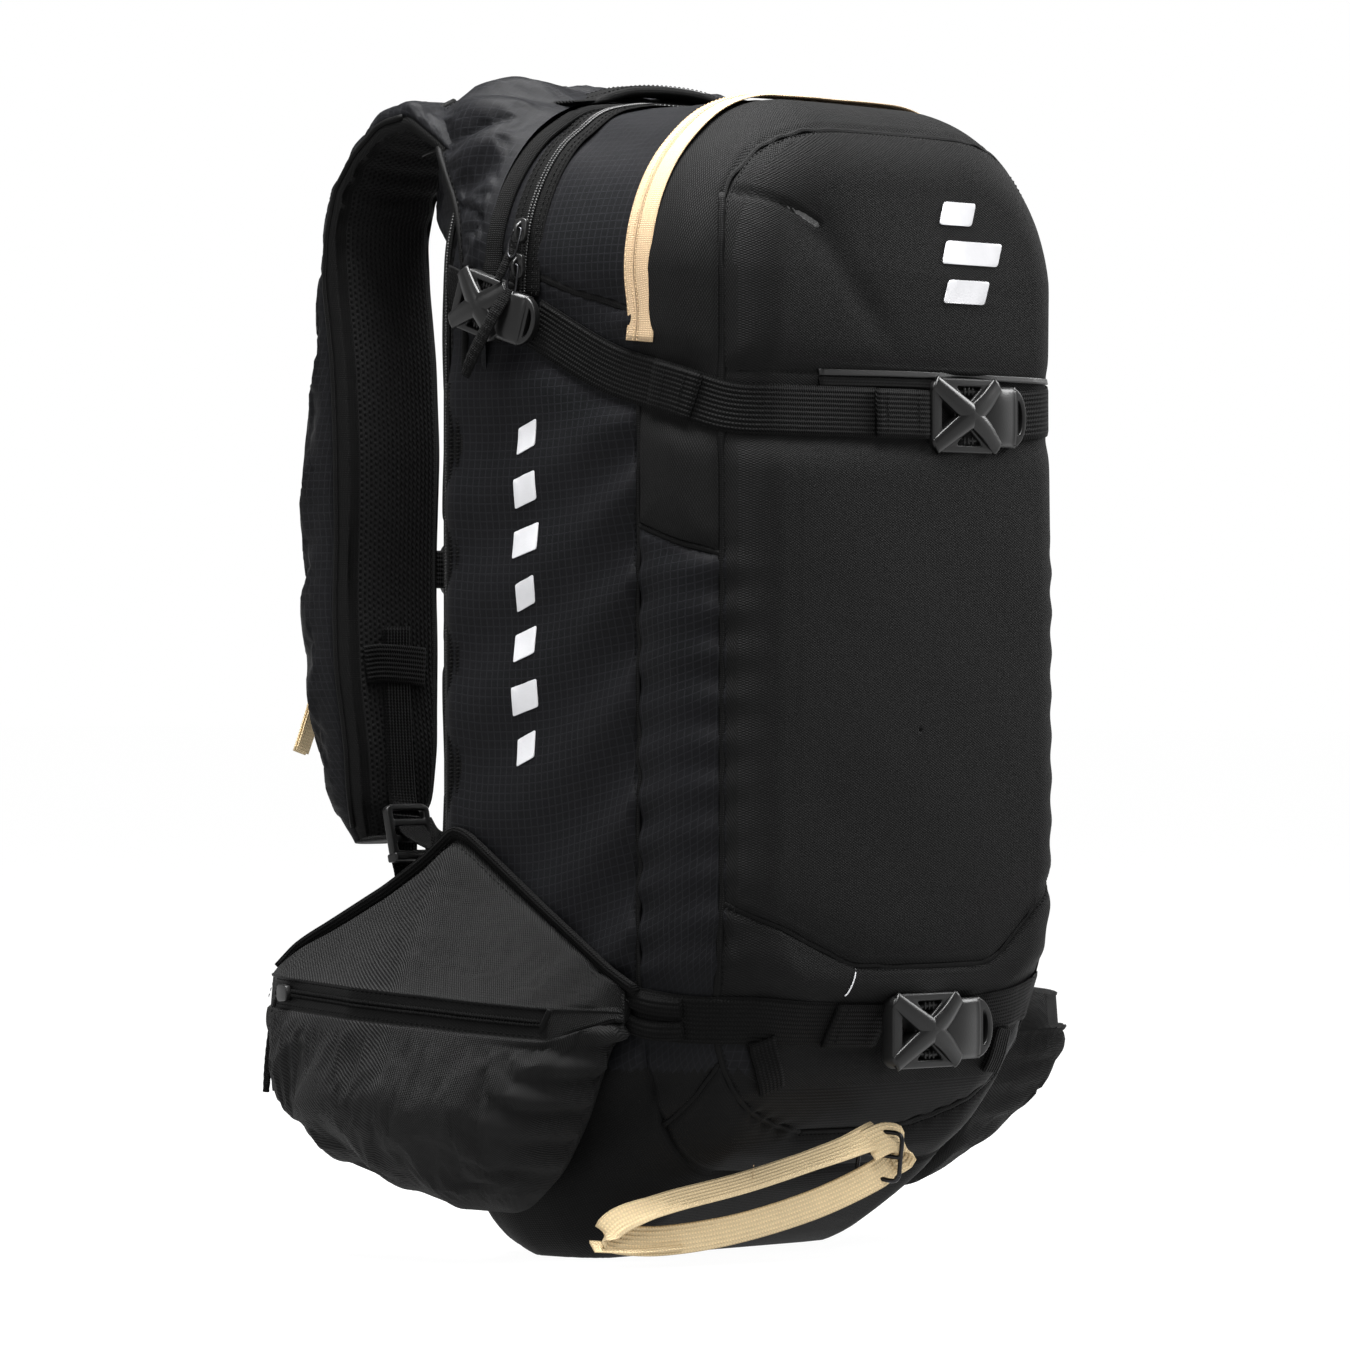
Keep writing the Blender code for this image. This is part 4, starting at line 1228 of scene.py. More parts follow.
def strap_frames(side):
    """Centres, directions and depths of the shoulder strap's sections, from the yoke down."""
    inner = np.asarray(STRAP_INNER)
    outer = np.asarray(STRAP_OUTER)
    if side > 0:
        thick = np.minimum(np.linalg.norm(outer - inner, axis=1), 0.024)
        outer = inner + unit(outer - inner) * thick[:, None]
    both = np.hstack([inner, outer])
    t = np.arange(len(both))
    dense = np.linspace(0, len(both) - 1, 150)
    both = np.stack([np.interp(dense, t, both[:, k]) for k in range(4)], axis=1)
    smoothed(both, 3)
    return both[:, :2], both[:, 2:], dense / dense[-1]


def facing_out(rings, middle):
    """Normals of a grid of points, turned away from its middle."""
    normal = unit(np.cross(np.gradient(rings, axis=1), np.gradient(rings, axis=0)))
    return normal * np.sign((normal * (rings - middle)).sum(axis=2, keepdims=True))


def pushed(rings, normal, lift):
    """A grid of points moved along its normals, by one lift for each point."""
    return (rings.reshape(-1, 3) + normal.reshape(-1, 3) * lift[:, None]).reshape(rings.shape)


def plateau(count, low, rise, high, fall):
    """For each of count places: 0 up to low, then up to 1, and back down to 0 at high."""
    place = np.arange(count)
    return np.clip((place - low) / rise, 0, 1) * np.clip((high - place) / fall, 0, 1)


def grid_column(polygon, columns):
    """The first column of a face, and whether the face closes the ring."""
    places = [v % columns for v in polygon.vertices]
    return min(places), max(places) - min(places) > 2


def shoulder_strap(word, side):
    """A padded strap: mesh on its inner face, cloth outside, piping, stitches and webbing."""
    inner, outer, share = strap_frames(side)
    centre = side * profile([(0, 0.0885), (0.25, 0.0855), (0.8, 0.0865), (1, 0.089)], share)
    half = profile([(0, 0.028), (0.10, 0.0345), (0.2, 0.0375), (0.3, 0.036), (0.8, 0.034), (0.93, 0.027),
                    (1, 0.016)], share)
    depth = np.linalg.norm(outer - inner, axis=1)
    out = unit(outer - inner)
    face, rim, bag = 26, 8, 44
    rings = []
    for i in range(len(inner)):
        pad = min(PAD, depth[i] * 0.5)
        xs = np.linspace(-1, 1, face)
        loop = [(x * half[i] * 0.97, -0.0016 * (1 - x * x) + 0.0016 * x ** 8) for x in xs]
        loop += [(half[i] * (0.97 + 0.03 * math.sin(a)), pad * (0.12 + 0.88 * a / math.pi))
                 for a in np.linspace(0.1, math.pi, rim)]
        for a in np.linspace(0, math.pi, bag):
            x = boxy(math.cos(a), 0.55) * half[i] * 0.975
            loop.append((x, pad + (depth[i] - pad) * math.sin(a) ** 0.62))
        loop += [(-half[i] * (0.97 + 0.03 * math.sin(a)), pad * (0.12 + 0.88 * a / math.pi))
                 for a in np.linspace(math.pi, 0.1, rim)]
        rings.append([(centre[i] + x, *(inner[i] + out[i] * d)) for x, d in loop])
    rings = np.asarray(rings)
    flat = rings.reshape(-1, 3)
    column = np.tile(np.arange(rings.shape[1]), len(rings))
    outside = ((column >= face + rim) & (column < face + rim + bag)).astype(float)
    place = (column - face - rim) / bag
    crease = np.sin(math.pi * np.clip(place, 0, 1))
    warp = value_noise(flat, 30.0, 21 + side)
    fold = np.sin(flat[:, 2] * 2 * math.pi / 0.052 + place * 9 * side + 2.6 * warp)
    groove = 0.0015 * np.exp(-((place - 0.22) / 0.035) ** 2)
    lift = outside * crease * (0.0019 * fold * (0.5 + 0.5 * warp) - groove)
    bend = np.clip((flat[:, 2] - 0.50) / 0.05, 0, 1)
    inner_face = (column < face).astype(float)
    lift += inner_face * bend * 0.0010 * np.sin(np.repeat(share, rings.shape[1]) * 130 + warp)
    lift += 0.0006 * value_noise(flat, 60.0, 25)
    shaped = pushed(rings, facing_out(rings, rings.mean(axis=1, keepdims=True)), lift)
    strap = grid(word + "_strap_pad", shaped, SLEEK, True, None, True)
    strap.data.materials.append(RIPSTOP)
    strap.data.materials.append(AIR_MESH)
    columns = rings.shape[1]
    place = (np.arange(columns) - face - rim) / bag
    loose = np.clip(place * 6, 0, 1) * np.clip((1 - place) * 6, 0, 1)
    ends = plateau(len(rings), 4, 10.0, len(rings) - 3, 8.0)
    settle(strap, (ends[:, None] * loose[None]).ravel(), 1.5, 0.03, 0.004)
    for polygon in strap.data.polygons:
        if len(polygon.vertices) > 4:
            continue
        first, wraps = grid_column(polygon, columns)
        polygon.material_index = 1 if face + rim - 1 <= first < face + rim + bag - 1 and not wraps else 0
        if 2 <= first < face - 3 and not wraps:
            polygon.material_index = 2
    parts = [strap]
    for column_at in (face + rim - 1, columns - rim):
        edge = shaped[22:-3, column_at]
        centre_line = shaped[22:-3].mean(axis=1)
        away = unit(edge - centre_line)
        parts.append(sweep("piping", curve_points(edge[::3] + away[::3] * 0.0004, 0.003), (1, 0, 0),
                           round_section(0.0016, 8), SLEEK))
        row = edge[::2] + away[::2] * 0.0003
        inward = unit(inner[22:-3][::2] - outer[22:-3][::2])
        row = row + np.stack([0 * inward[:, 0], inward[:, 0], inward[:, 1]], axis=1) * 0.0036
        parts.append(stitches("row", row, (np.sign(edge[0][0] - centre_line[0][0]), 0, 0)))
    # webbing keeper sewn over the inner face, and the tail that runs down to the adjuster
    x = side * 0.0900
    level = shaped[118, face // 2]
    keeper = [(x - 0.022, level[1] - 0.0008, level[2]), (x - 0.012, level[1] - 0.0028, level[2] + 0.001),
              (x + 0.008, level[1] - 0.0030, level[2]), (x + 0.022, level[1] - 0.0010, level[2] - 0.001)]
    parts.append(webbing("keeper", keeper, (0, 0, 1), WEBBING, STRAP_WEB))
    tail = [(x, level[1] - 0.0015, level[2] + 0.020), (x, level[1] - 0.0018, level[2] - 0.010),
            (x + side * 0.001, 0.0960, 0.2400), (x + side * 0.002, 0.0920, 0.2240)]
    parts.append(webbing("tail", tail, (1, 0, 0), WEBBING, STRAP_WEB))
    return parts


# the flared cloth that joins the straps to the top of the bag: where it leaves the bag as an angle
# round the top corner, and the edge it ends in
YOKE_BASE = [(0.0, 0.452), (0.09, 0.478), (0.20, 0.505), (0.32, 0.540), (0.45, 0.566), (0.62, 0.582),
             (0.80, 0.590), (1.0, 0.590)]
YOKE_EDGE = [(0.1335, 0.009, 0.446), (0.1328, 0.007, 0.478), (0.1310, 0.011, 0.511), (0.1262, 0.0215, 0.536),
             (0.1185, 0.0400, 0.5610), (0.1040, 0.0590, 0.5845), (0.0700, 0.0600, 0.5970),
             (0.0, 0.046, 0.5900)]
YOKE_BACK = [(0.1300, 0.012, 0.444), (0.1220, 0.014, 0.468), (0.1120, 0.020, 0.490), (0.1030, 0.029, 0.500),
             (0.0850, 0.044, 0.500), (0.0650, 0.050, 0.486), (0.0400, 0.048, 0.476), (0.0, 0.047, 0.470)]


def yoke_half(side):
    """One half of the yoke's cloth: from the bag out to its edge, and back under to the panel."""
    rows = 90
    t = np.linspace(0, 1, rows)
    keys = np.asarray([k for k, _ in YOKE_BASE])
    edge = np.stack([np.interp(t, keys, [p[k] for p in YOKE_EDGE]) for k in range(3)], axis=1)
    back = np.stack([np.interp(t, keys, [p[k] for p in YOKE_BACK]) for k in range(3)], axis=1)
    z = np.interp(t, keys, [v for _, v in YOKE_BASE])
    x = np.where(z > TOP - TOP_RADIUS, HALF - TOP_RADIUS + np.sqrt(np.maximum(
        0, TOP_RADIUS ** 2 - (z - TOP + TOP_RADIUS) ** 2)), HALF)
    x = np.where(t > 0.8, np.interp(t, (0.8, 1.0), (HALF - TOP_RADIUS, 0.0)), x)
    base = np.stack([x, np.full(rows, -0.009), z], axis=1)
    for line in (edge, back, base):
        smoothed(line, 8)
    rings = []
    for i in range(rows):
        run = []
        for s in np.linspace(0, 1, 30):
            point = base[i] * (1 - s) + edge[i] * s
            away = unit(np.asarray([point[0], 0, point[2] - 0.45])[None])[0]
            puff = 0.0036 + 0.006 * math.sin(math.pi * s) * min(1.0, 3 * t[i])
            run.append(point + away * puff)
        tip = run[-1]
        for s in np.linspace(0, 1, 22)[1:]:
            point = tip * (1 - s) + back[i] * s
            run.append(point + np.asarray((0, 0.010 * math.sin(math.pi * s) * min(1, 4 * t[i]), 0)))
        rings.append(run)
    rings = np.asarray(rings)
    flat = rings.reshape(-1, 3)
    column = np.tile(np.arange(rings.shape[1]), rows) / 29
    where = np.repeat(t, rings.shape[1])
    warp = value_noise(flat, 34.0, 31 + side)
    fan = np.sin(where * 34 + 2.2 * warp + 2.0 * column)
    fan = fan - 0.5 * np.abs(np.sin(where * 17 + 1.5 * warp - 1.4 * column))
    lift = 0.0040 * fan * np.sin(math.pi * np.clip(column, 0, 1)) * (0.35 + 0.65 * np.clip(column, 0, 1))
    lift += 0.0012 * value_noise(flat, 70.0, 33)
    shaped = pushed(rings, facing_out(rings, (0, -0.06, 0.47)), lift)
    shaped[:, :, 0] *= side
    shaped[-1, :, 0] = 0.0
    return shaped


def build_harness():
    """The yoke, both shoulder straps with their adjusters and webbing, and the sleeve's pull tab."""
    pieces = []
    for side in (-1, 1):
        rings = yoke_half(side)
        half = grid("yoke_side", rings, RIPSTOP)
        columns = rings.shape[1]
        loose = plateau(columns, 0, 6.0, columns - 1, 6.0)
        loose *= 1 - 0.9 * np.exp(-((np.arange(columns) - 29) / 3.0) ** 2)
        ends = plateau(len(rings), 0, 6.0, len(rings) - 1, 10.0)
        pieces.append(settle(half, (ends[:, None] * loose[None]).ravel(), 1.5, 0.06, 0.006))
        edge = curve_points(rings[:64:3, 29], 0.003)
        pieces.append(sweep("piping", edge, (side, 0, 0.2), round_section(0.0019, 8), SLEEK))
        pieces.append(stitches("row", rings[:64:2, 27] + (side * 0.0006, 0, 0.0004), (side * 0.8, -0.1, 0.6)))
    put(join("yoke", pieces), "back_door", "ripstop", "yoke")
    for side, word in ((-1, "left"), (1, "right")):
        parts = shoulder_strap(word, side)
        nodes = [word + "_shoulder_strap"] + (["strap_sleeve"] if side < 0 else [])
        put(join(word + "_shoulder_strap", parts), "back_door", "ripstop", *nodes)
        low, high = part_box(word + "_strap_adjuster")
        middle = [(low[i] + high[i]) / 2 for i in range(3)]
        frame = basis((1, 0, 0), (0, 0.22, 0.975), middle)
        half = (high[0] - low[0]) / 2
        outline = rounded([(-half, -0.011), (half, -0.011), (half, 0.015), (half * 0.72, 0.017),
                           (-half * 0.72, 0.017), (-half, 0.015)], 0.003)
        slots = [rounded([(-0.0115, z), (-0.0115, z + 0.0042), (0.0115, z + 0.0042), (0.0115, z)], 0.0008)
                 for z in (-0.0075, 0.0005, 0.0090)]
        plate = transform(bevelled("plate", outline, 0.0042, PLASTIC, 0.0012, slots, 3), frame)
        edge = rounded([(-half, -0.0135), (half, -0.0135), (half, -0.0090), (-half, -0.0090)], 0.001)
        lip = transform(bevelled("lip", edge, 0.0075, PLASTIC, 0.0016, (), 3), frame)
        put(join(word + "_strap_adjuster", [plate, lip]), word + "_adjuster", "plastic",
            word + "_strap_adjuster")
        x = side * 0.092
        lower = [(x, BACK + 0.020, 0.2065), (x, 0.056, 0.2050), (x, 0.072, 0.2090), (x, 0.0845, 0.2145),
                 (x, 0.0875, 0.2180), (x, 0.0925, 0.2150), (x, 0.0935, 0.2050), (x, 0.0900, 0.1930),
                 (x, 0.0890, 0.1800)]
        put(webbing(word + "_strap_webbing", lower, (1, 0, 0), WEBBING, STRAP_WEB), "back_door", "webbing",
            word + "_strap_webbing")
        wing = [(side * 0.1235, BACK + 0.0230, 0.2170), (side * 0.112, 0.046, 0.2080), (x, 0.052, 0.2050)]
        put(webbing(word + "_strap_anchor", wing, (0, 0.35, 0.94), WEBBING, STRAP_WEB), "back_door",
            "webbing")
    low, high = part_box("sleeve_pull")
    x = (low[0] + high[0]) / 2 - 0.004
    tab = [(x, 0.1560, 0.3000), (x - 0.003, 0.1575, 0.2850), (x - 0.007, 0.1605, 0.2680),
           (x - 0.010, 0.1630, 0.2560)]
    front = webbing("sleeve_pull", tab, (0.85, 0.35, 0), TAN_WEB, 0.018, 0.0014)
    back = webbing("under", [(p[0] + 0.0004, p[1] - 0.0018, p[2] + 0.0004) for p in tab], (0.85, 0.35, 0),
                   TAN_WEB, 0.018, 0.0014)
    put(join("sleeve_pull", [front, back]), "back_door", "tan", "sleeve_pull")


def build_sternum():
    """The chest strap: two webbings and a buckle; the right webbing is baked in place and put on no body."""
    low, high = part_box("sternum_buckle_body")
    y = (low[1] + high[1]) / 2
    place_buckle("sternum_buckle", high[0] - low[0], 0.017, high[2] - low[2],
                 basis((1, 0, 0), (0, 0, -1), (low[0], y, STERNUM_Z)), "sternum", "sternum_tongue")
    left = [(-0.0580, 0.1330, STERNUM_Z), (-0.040, 0.1335, STERNUM_Z), (low[0] - 0.004, y - 0.001, STERNUM_Z),
            (low[0] + 0.0035, y + 0.0010, STERNUM_Z)]
    put(webbing("sternum_webbing_left", left, (0, 0, 1), WEBBING, STRAP_WEB), "sternum", "webbing",
        "sternum_webbing_left")
    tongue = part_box("sternum_buckle_tongue")[1][0]
    right = [(0.0580, 0.1250, STERNUM_Z), (0.045, 0.1310, STERNUM_Z), (tongue + 0.004, y - 0.001, STERNUM_Z),
             (tongue - 0.0035, y + 0.0010, STERNUM_Z)]
    piece = webbing("sternum_webbing_right", right, (0, 0, 1), WEBBING, STRAP_WEB)
    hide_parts("sternum_webbing_right")
    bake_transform(piece)


# ---------------------------------------------------------------- back panel and airbag module

def pad_half(z):
    """Half the back panel's width at height z."""
    radius = TOP_RADIUS - 0.010
    arc = math.sqrt(max(0.0, radius ** 2 - max(0.0, z - TOP + TOP_RADIUS) ** 2))
    return HALF - TOP_RADIUS + arc if z > TOP - TOP_RADIUS else HALF - 0.010


def pad_surface(z_low, z_high, half_at, depth_at, rows=120, columns=90):
    """A padded face in the XZ plane, rounded down to the panel at its edges."""
    rings = []
    for z in np.linspace(z_low, z_high, rows):
        half = half_at(z)
        ring = []
        for s in np.sin(np.linspace(-math.pi / 2, math.pi / 2, columns)):
            x = s * half
            gap = min(half - abs(x), z - z_low, z_high - z)
            round_off = math.sqrt(max(0.0, 1 - max(0.0, 1 - gap / 0.012) ** 2))
            ring.append((x, BACK + 0.0006 + depth_at(x, z) * round_off, z))
        rings.append(ring)
    return np.asarray(rings)


def back_depth(x, z):
    """Two long pads with a channel between them, cut by shallow cross channels."""
    depth = 0.0215
    depth -= 0.0110 * math.exp(-(max(0.0, abs(x) - 0.010) / 0.010) ** 2)
    for level in (0.262, 0.325, 0.388, 0.451):
        depth -= 0.0060 * math.exp(-((z - level + 0.15 * abs(x)) / 0.0045) ** 2) * min(1.0, abs(x) / 0.02)
    return depth + 0.0008 * math.sin(90 * x) * math.sin(70 * z)


def hem_round(rings, radius, look, y=None):
    """A rolled hem round the edge of a pad, at its own depth or at y."""
    rim = np.vstack([rings[:, 0], rings[-1, 1:-1], rings[::-1, -1], rings[0, ::-1][1:-1]])
    if y is not None:
        rim[:, 1] = y
    closed = curve_points(np.vstack([rim[::4], rim[:1]]), 0.003)
    return sweep("hem", closed, (0, 1, 0), round_section(radius, 8), look)


def build_back():
    """The door's back pads with its liner, the lumbar pad, and the frame sheet with its two stays."""
    rings = pad_surface(0.1985, TOP - 0.0105, pad_half, back_depth, 150, 110)
    face = grid("back_pad", rings, AIR_MESH)
    hem = hem_round(rings, 0.0030, KNIT, BACK + 0.0024)
    inner = rings[::6, ::6].copy()
    inner[:, :, 1] = BACK + 0.0004
    liner = grid("door_liner", inner, LINER)
    put(join("back_panel", [face, hem, liner]), "back_door", "foam", "back_panel")

    low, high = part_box("lumbar_pad")
    middle = (low[2] + high[2]) / 2

    def lumbar_half(z):
        return high[0] - 0.030 * abs((z - middle) / (high[2] - middle)) ** 3

    def lumbar_depth(x, z):
        depth = 0.0248 - 0.009 * math.exp(-(x / 0.014) ** 2)
        return depth - 0.004 * math.exp(-((z - middle) / 0.005) ** 2) * min(1.0, abs(x) / 0.02)

    rings = pad_surface(low[2], high[2], lumbar_half, lumbar_depth, 80, 90)
    hem = hem_round(rings, 0.0026, SLEEK)
    put(join("lumbar_pad", [grid("lumbar", rings, AIR_MESH), hem]), "pack", "foam",
        "lumbar_pad")

    low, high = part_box("framesheet")
    sheet = rounded([(low[0], low[2]), (high[0], low[2]), (high[0], high[2]), (low[0], high[2])], 0.018)
    windows = []
    for side in (-1, 1):
        for z in (0.245, 0.300, 0.355, 0.410, 0.465):
            corners = [(side * 0.020, z), (side * 0.085, z), (side * 0.085, z + 0.022),
                       (side * 0.020, z + 0.022)]
            windows.append(rounded(corners[::side], 0.006))
    board = bevelled("framesheet", sheet, high[1] - low[1], BOARD, 0.0004, windows, 2)
    transform(board, basis((1, 0, 0), (0, 0, 1), (0, centre_of("framesheet", 1), 0)))
    put(board, "back_door", "board", "framesheet")
    for word in ("left", "right"):
        low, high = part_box(word + "_stay")
        put(block(word + "_stay", low, high, ALLOY, 0.0010, 3), "back_door", "alloy", word + "_stay")


def turned(name, outline, centre, look):
    """A round part turned about Z: outline in pairs of radius and height."""
    angle = np.linspace(0, 2 * math.pi, 40, endpoint=False)
    rings = [[(centre[0] + r * math.cos(a), centre[1] + r * math.sin(a), h) for a in angle] for r,
             h in outline]
    made = grid(name, rings, look, True, None, True)
    made.data.set_sharp_from_angle(angle=math.radians(35))
    return made


CABLE = [(0.0815, -0.006, 0.4410), (0.072, -0.005, 0.4440), (0.045, -0.004, 0.4445), (-0.060, -0.002, 0.4450),
         (-0.085, 0.004, 0.4530), (-0.094, 0.0125, 0.480), (-0.094, 0.0128, 0.520), (-0.091, 0.0140, 0.5420),
         (-0.086, 0.0240, 0.5485), (-0.085, 0.0340, 0.5495), (-0.085, 0.0436, 0.5540),
         (-0.085, 0.060, 0.5660), (-0.085, 0.080, 0.5700), (-0.085, 0.100, 0.5600), (-0.085, 0.115, 0.5350),
         (-0.085, 0.121, 0.490), (-0.085, 0.1220, 0.4900), (-0.085, 0.1280, 0.4660), (-0.085, 0.1400, 0.4475)]


def build_airbag():
    """The airbag module on the door: folded bag, cartridge, inflator, lever, cable and handle."""
    low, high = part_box("airbag_folded")
    rows, columns = 120, 84
    middle = (Vector(low) + Vector(high)) / 2
    size = (Vector(high) - Vector(low)) / 2
    rings = []
    for i in range(rows):
        s = -1 + 2 * i / (rows - 1)
        shrink = (1 - abs(s) ** 7) ** 0.5
        ring = []
        for j in range(columns):
            a = 2 * math.pi * j / columns
            c, d = boxy(math.cos(a)), boxy(math.sin(a))
            pleat = 1 - 0.050 * abs(math.sin(6 * a + 0.6 * math.sin(5 * s))) * shrink
            ring.append((middle.x + s * size.x, middle.y + c * size.y * shrink * pleat,
                         middle.z + d * size.z * shrink * pleat * (0.97 + 0.03 * math.cos(s * 11))))
        rings.append(ring)
    folded = grid("airbag_folded", rings, AIRBAG, True, None, True)
    bands = []
    for x in (middle.x - 0.045, middle.x + 0.045):
        loop = [(x, middle.y + boxy(math.cos(a)) * (size.y - 0.0012),
                 middle.z + boxy(math.sin(a)) * (size.z - 0.0012))
                for a in np.linspace(0, 2 * math.pi, 33)]
        bands.append(webbing("band", loop, (1, 0, 0), WEBBING, 0.014, 0.0012))
    put(join("airbag_folded", [folded, *bands]), "back_door", "airbag_cloth", "airbag_folded")

    low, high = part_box("gas_cartridge")
    centre = ((low[0] + high[0]) / 2, (low[1] + high[1]) / 2)
    radius = (high[0] - low[0]) / 2
    outline = [(0.004, low[2]), (radius * 0.55, low[2] + 0.0015), (radius * 0.88, low[2] + 0.009),
               (radius, low[2] + 0.022), (radius, low[2] + 0.070), (radius, low[2] + 0.072),
               (radius, high[2] - 0.040)]
    outline += [(radius * math.cos(a) + 0.009 * math.sin(a), high[2] - 0.040 + 0.026 * math.sin(a))
                for a in np.linspace(0.2, 1.5, 8)]
    outline += [(0.0095, high[2] - 0.012), (0.0115, high[2] - 0.011), (0.0115, high[2] - 0.0004)]
    label = [(radius + 0.0003, low[2] + 0.045), (radius + 0.0003, low[2] + 0.110)]
    bottle = [turned("gas_cartridge", outline, centre, STEEL), turned("sleeve", label, centre, AIRBAG)]
    put(join("gas_cartridge", bottle), "back_door", "steel", "gas_cartridge")

    low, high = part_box("inflator_body")
    bottom, top = low[2], high[2]
    outline = [(0.010, bottom), (0.0180, bottom + 0.0010), (0.0180, bottom + 0.0080),
               (0.0165, bottom + 0.0090), (0.0165, bottom + 0.0110), (0.0176, bottom + 0.0120),
               (0.0160, top - 0.0060), (0.0140, top - 0.0012), (0.0120, top)]
    head = turned("inflator_body", outline, centre, ALLOY)
    gauge = turned("gauge", [(0.0060, top - 0.0006), (0.0060, top - 0.0002), (0.0055, top)], centre, GLOSS)
    put(join("inflator_body", [head, gauge]), "back_door", "alloy", "inflator_body")
    low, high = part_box("trigger_lever")
    put(block("trigger_lever", low, high, ALLOY, 0.0012, 3), "trigger_lever", "alloy", "trigger_lever")
    put(cord_piece("trigger_cable", CABLE, 0.0015, RUBBER, 0.002), "back_door", "steel", "trigger_cable")

    low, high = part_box("trigger_handle")
    middle = (Vector(low) + Vector(high)) / 2
    size = Vector(high) - Vector(low)
    grip = rounded([(-0.5 * size.x, -0.36 * size.z), (-0.30 * size.x, -0.5 * size.z),
                    (0.30 * size.x, -0.5 * size.z), (0.5 * size.x, -0.36 * size.z),
                    (0.42 * size.x, 0.30 * size.z), (0.5 * size.x, 0.42 * size.z),
                    (0.30 * size.x, 0.5 * size.z), (-0.30 * size.x, 0.5 * size.z),
                    (-0.5 * size.x, 0.42 * size.z), (-0.42 * size.x, 0.30 * size.z)], 0.009, 8)
    body = bevelled("trigger_handle", grip, size.y * 0.82, PLASTIC, 0.0050, (), 5)
    parts = [transform(body, Matrix.Rotation(math.pi / 2, 4, "X"))]
    for k in range(7):
        z = -0.030 + 0.009 * k
        rib = block("ridge", (-0.0125, -0.0012, z), (0.0125, 0.0012, z + 0.003), RUBBER, 0.001)
        parts.append(transform(rib, Matrix.Translation((0, size.y * 0.41, 0))))
    for part in parts:
        transform(part, Matrix.Translation(middle))
    put(join("trigger_handle", parts), "trigger_handle", "plastic", "trigger_handle")


# ---------------------------------------------------------------- hip fins and belt

# the fin's outlines and its reach away from the bag, each against y
FIN = abs(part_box("left_wing")[1][0])
FIN_LOW = [(-0.122, 0.127), (-0.104, 0.119), (-0.094, 0.101), (-0.083, 0.072), (-0.066, 0.045),
           (-0.0475, 0.029), (-0.037, 0.0255), (0.0, 0.026), (0.043, 0.0365), (0.08, 0.046), (0.109, 0.058),
           (0.124, 0.080), (0.131, 0.108)]
FIN_HIGH = [(-0.122, 0.134), (-0.0963, 0.147), (-0.05, 0.178), (0.0, 0.2125), (0.010, 0.2170),
            (0.030, 0.2020), (0.0575, 0.186), (0.1, 0.1655), (0.1164, 0.158), (0.131, 0.149)]
FIN_RIDGE = [(-0.122, 0.1290), (-0.086, 0.1310), (-0.013, 0.1365), (0.05, 0.1400), (0.124, 0.1425),
             (0.131, 0.1430)]
FIN_REACH = [(-0.108, 0.0020), (-0.100, 0.0060), (-0.092, 0.0150), (-0.084, 0.0260), (-0.074, 0.0350),
             (-0.04, 0.0455), (0.0, 0.0500), (0.04, 0.0485), (0.105, 0.0265), (0.112, 0.0240),
             (0.124, 0.0180), (0.131, 0.0120)]
FULL_REACH = [(-0.122, 0.0300), (-0.117, 0.0510), (-0.106, 0.0600), (-0.085, 0.0620), (-0.04, 0.0580),
              (0.0, 0.0530), *FIN_REACH[7:]]
BAND = 0.0172       # height of the band that holds the pocket's zip


def fin_point(side, y, z_share):
    """The zip band's surface: 0 at its upper edge and 1 at its lower."""
    reach = profile(FULL_REACH if side > 0 else FIN_REACH, y)
    ridge = profile(FIN_RIDGE, y)
    return np.asarray((side * (FIN + reach + 0.0002 + 0.0020 * z_share), y, ridge - BAND * z_share))


def fin_rings(side):
    """Sections of the fin from its front tip to the wearer's side; the right pocket hangs fuller."""
    rings = []
    for y in np.linspace(-0.122 if side > 0 else -0.106, 0.131, 128):
        droop = 0.016 * np.clip(-y / 0.08, 0, 1) if side > 0 else 0
        low, high = profile(FIN_LOW, y + droop), profile(FIN_HIGH, y)
        ridge, reach = profile(FIN_RIDGE, y), profile(FULL_REACH if side > 0 else FIN_REACH, y)
        band = BAND * np.clip((y + 0.110) / 0.030, 0.3, 1.0) if side < 0 else BAND
        low = min(low, ridge - band - 0.002)
        high = max(high, ridge + 0.006)
        section = []
        for s in np.linspace(0, 1, 34):
            x = FIN - 0.001 + 0.006 * min(1, s * 8) + (reach - 0.005) * s ** 1.06
            section.append((x, high + (ridge - high) * s))
        section.append((FIN + reach + 0.0016, ridge - 0.0006))
        section.append((FIN + reach + 0.0012, ridge - 0.0018))
        for s in np.linspace(0.12, 0.94, 8):
            section.append((FIN + reach + 0.0002 + 0.0020 * s, ridge - band * s))
        start = (FIN + reach + 0.0036 * band / BAND, ridge - band)
        section.append((start[0] - 0.0012, start[1] + 0.0004))
        height = start[1] - low
        for a in np.linspace(0, 1, 46):
            bulge = 0.0050 * math.sin(math.pi * min(1, a * 1.25)) * min(1.0, reach / 0.03)
            inward = max(reach - 0.004, 0.004) * np.clip((a - 0.35) / 0.65, 0, 1) ** 2.3
            section.append((start[0] + bulge - inward,
                            start[1] - height * math.sin(a * math.pi / 2) * (0.45 + 0.55 * a)))
        section.append((FIN + 0.003, low + 0.003))
        for s in np.linspace(0, 1, 16)[1:]:
            section.append((FIN - 0.0015, low + 0.008 + (high - low - 0.012) * s))
        rings.append([(side * x, y, z) for x, z in section])
    return np.asarray(rings)


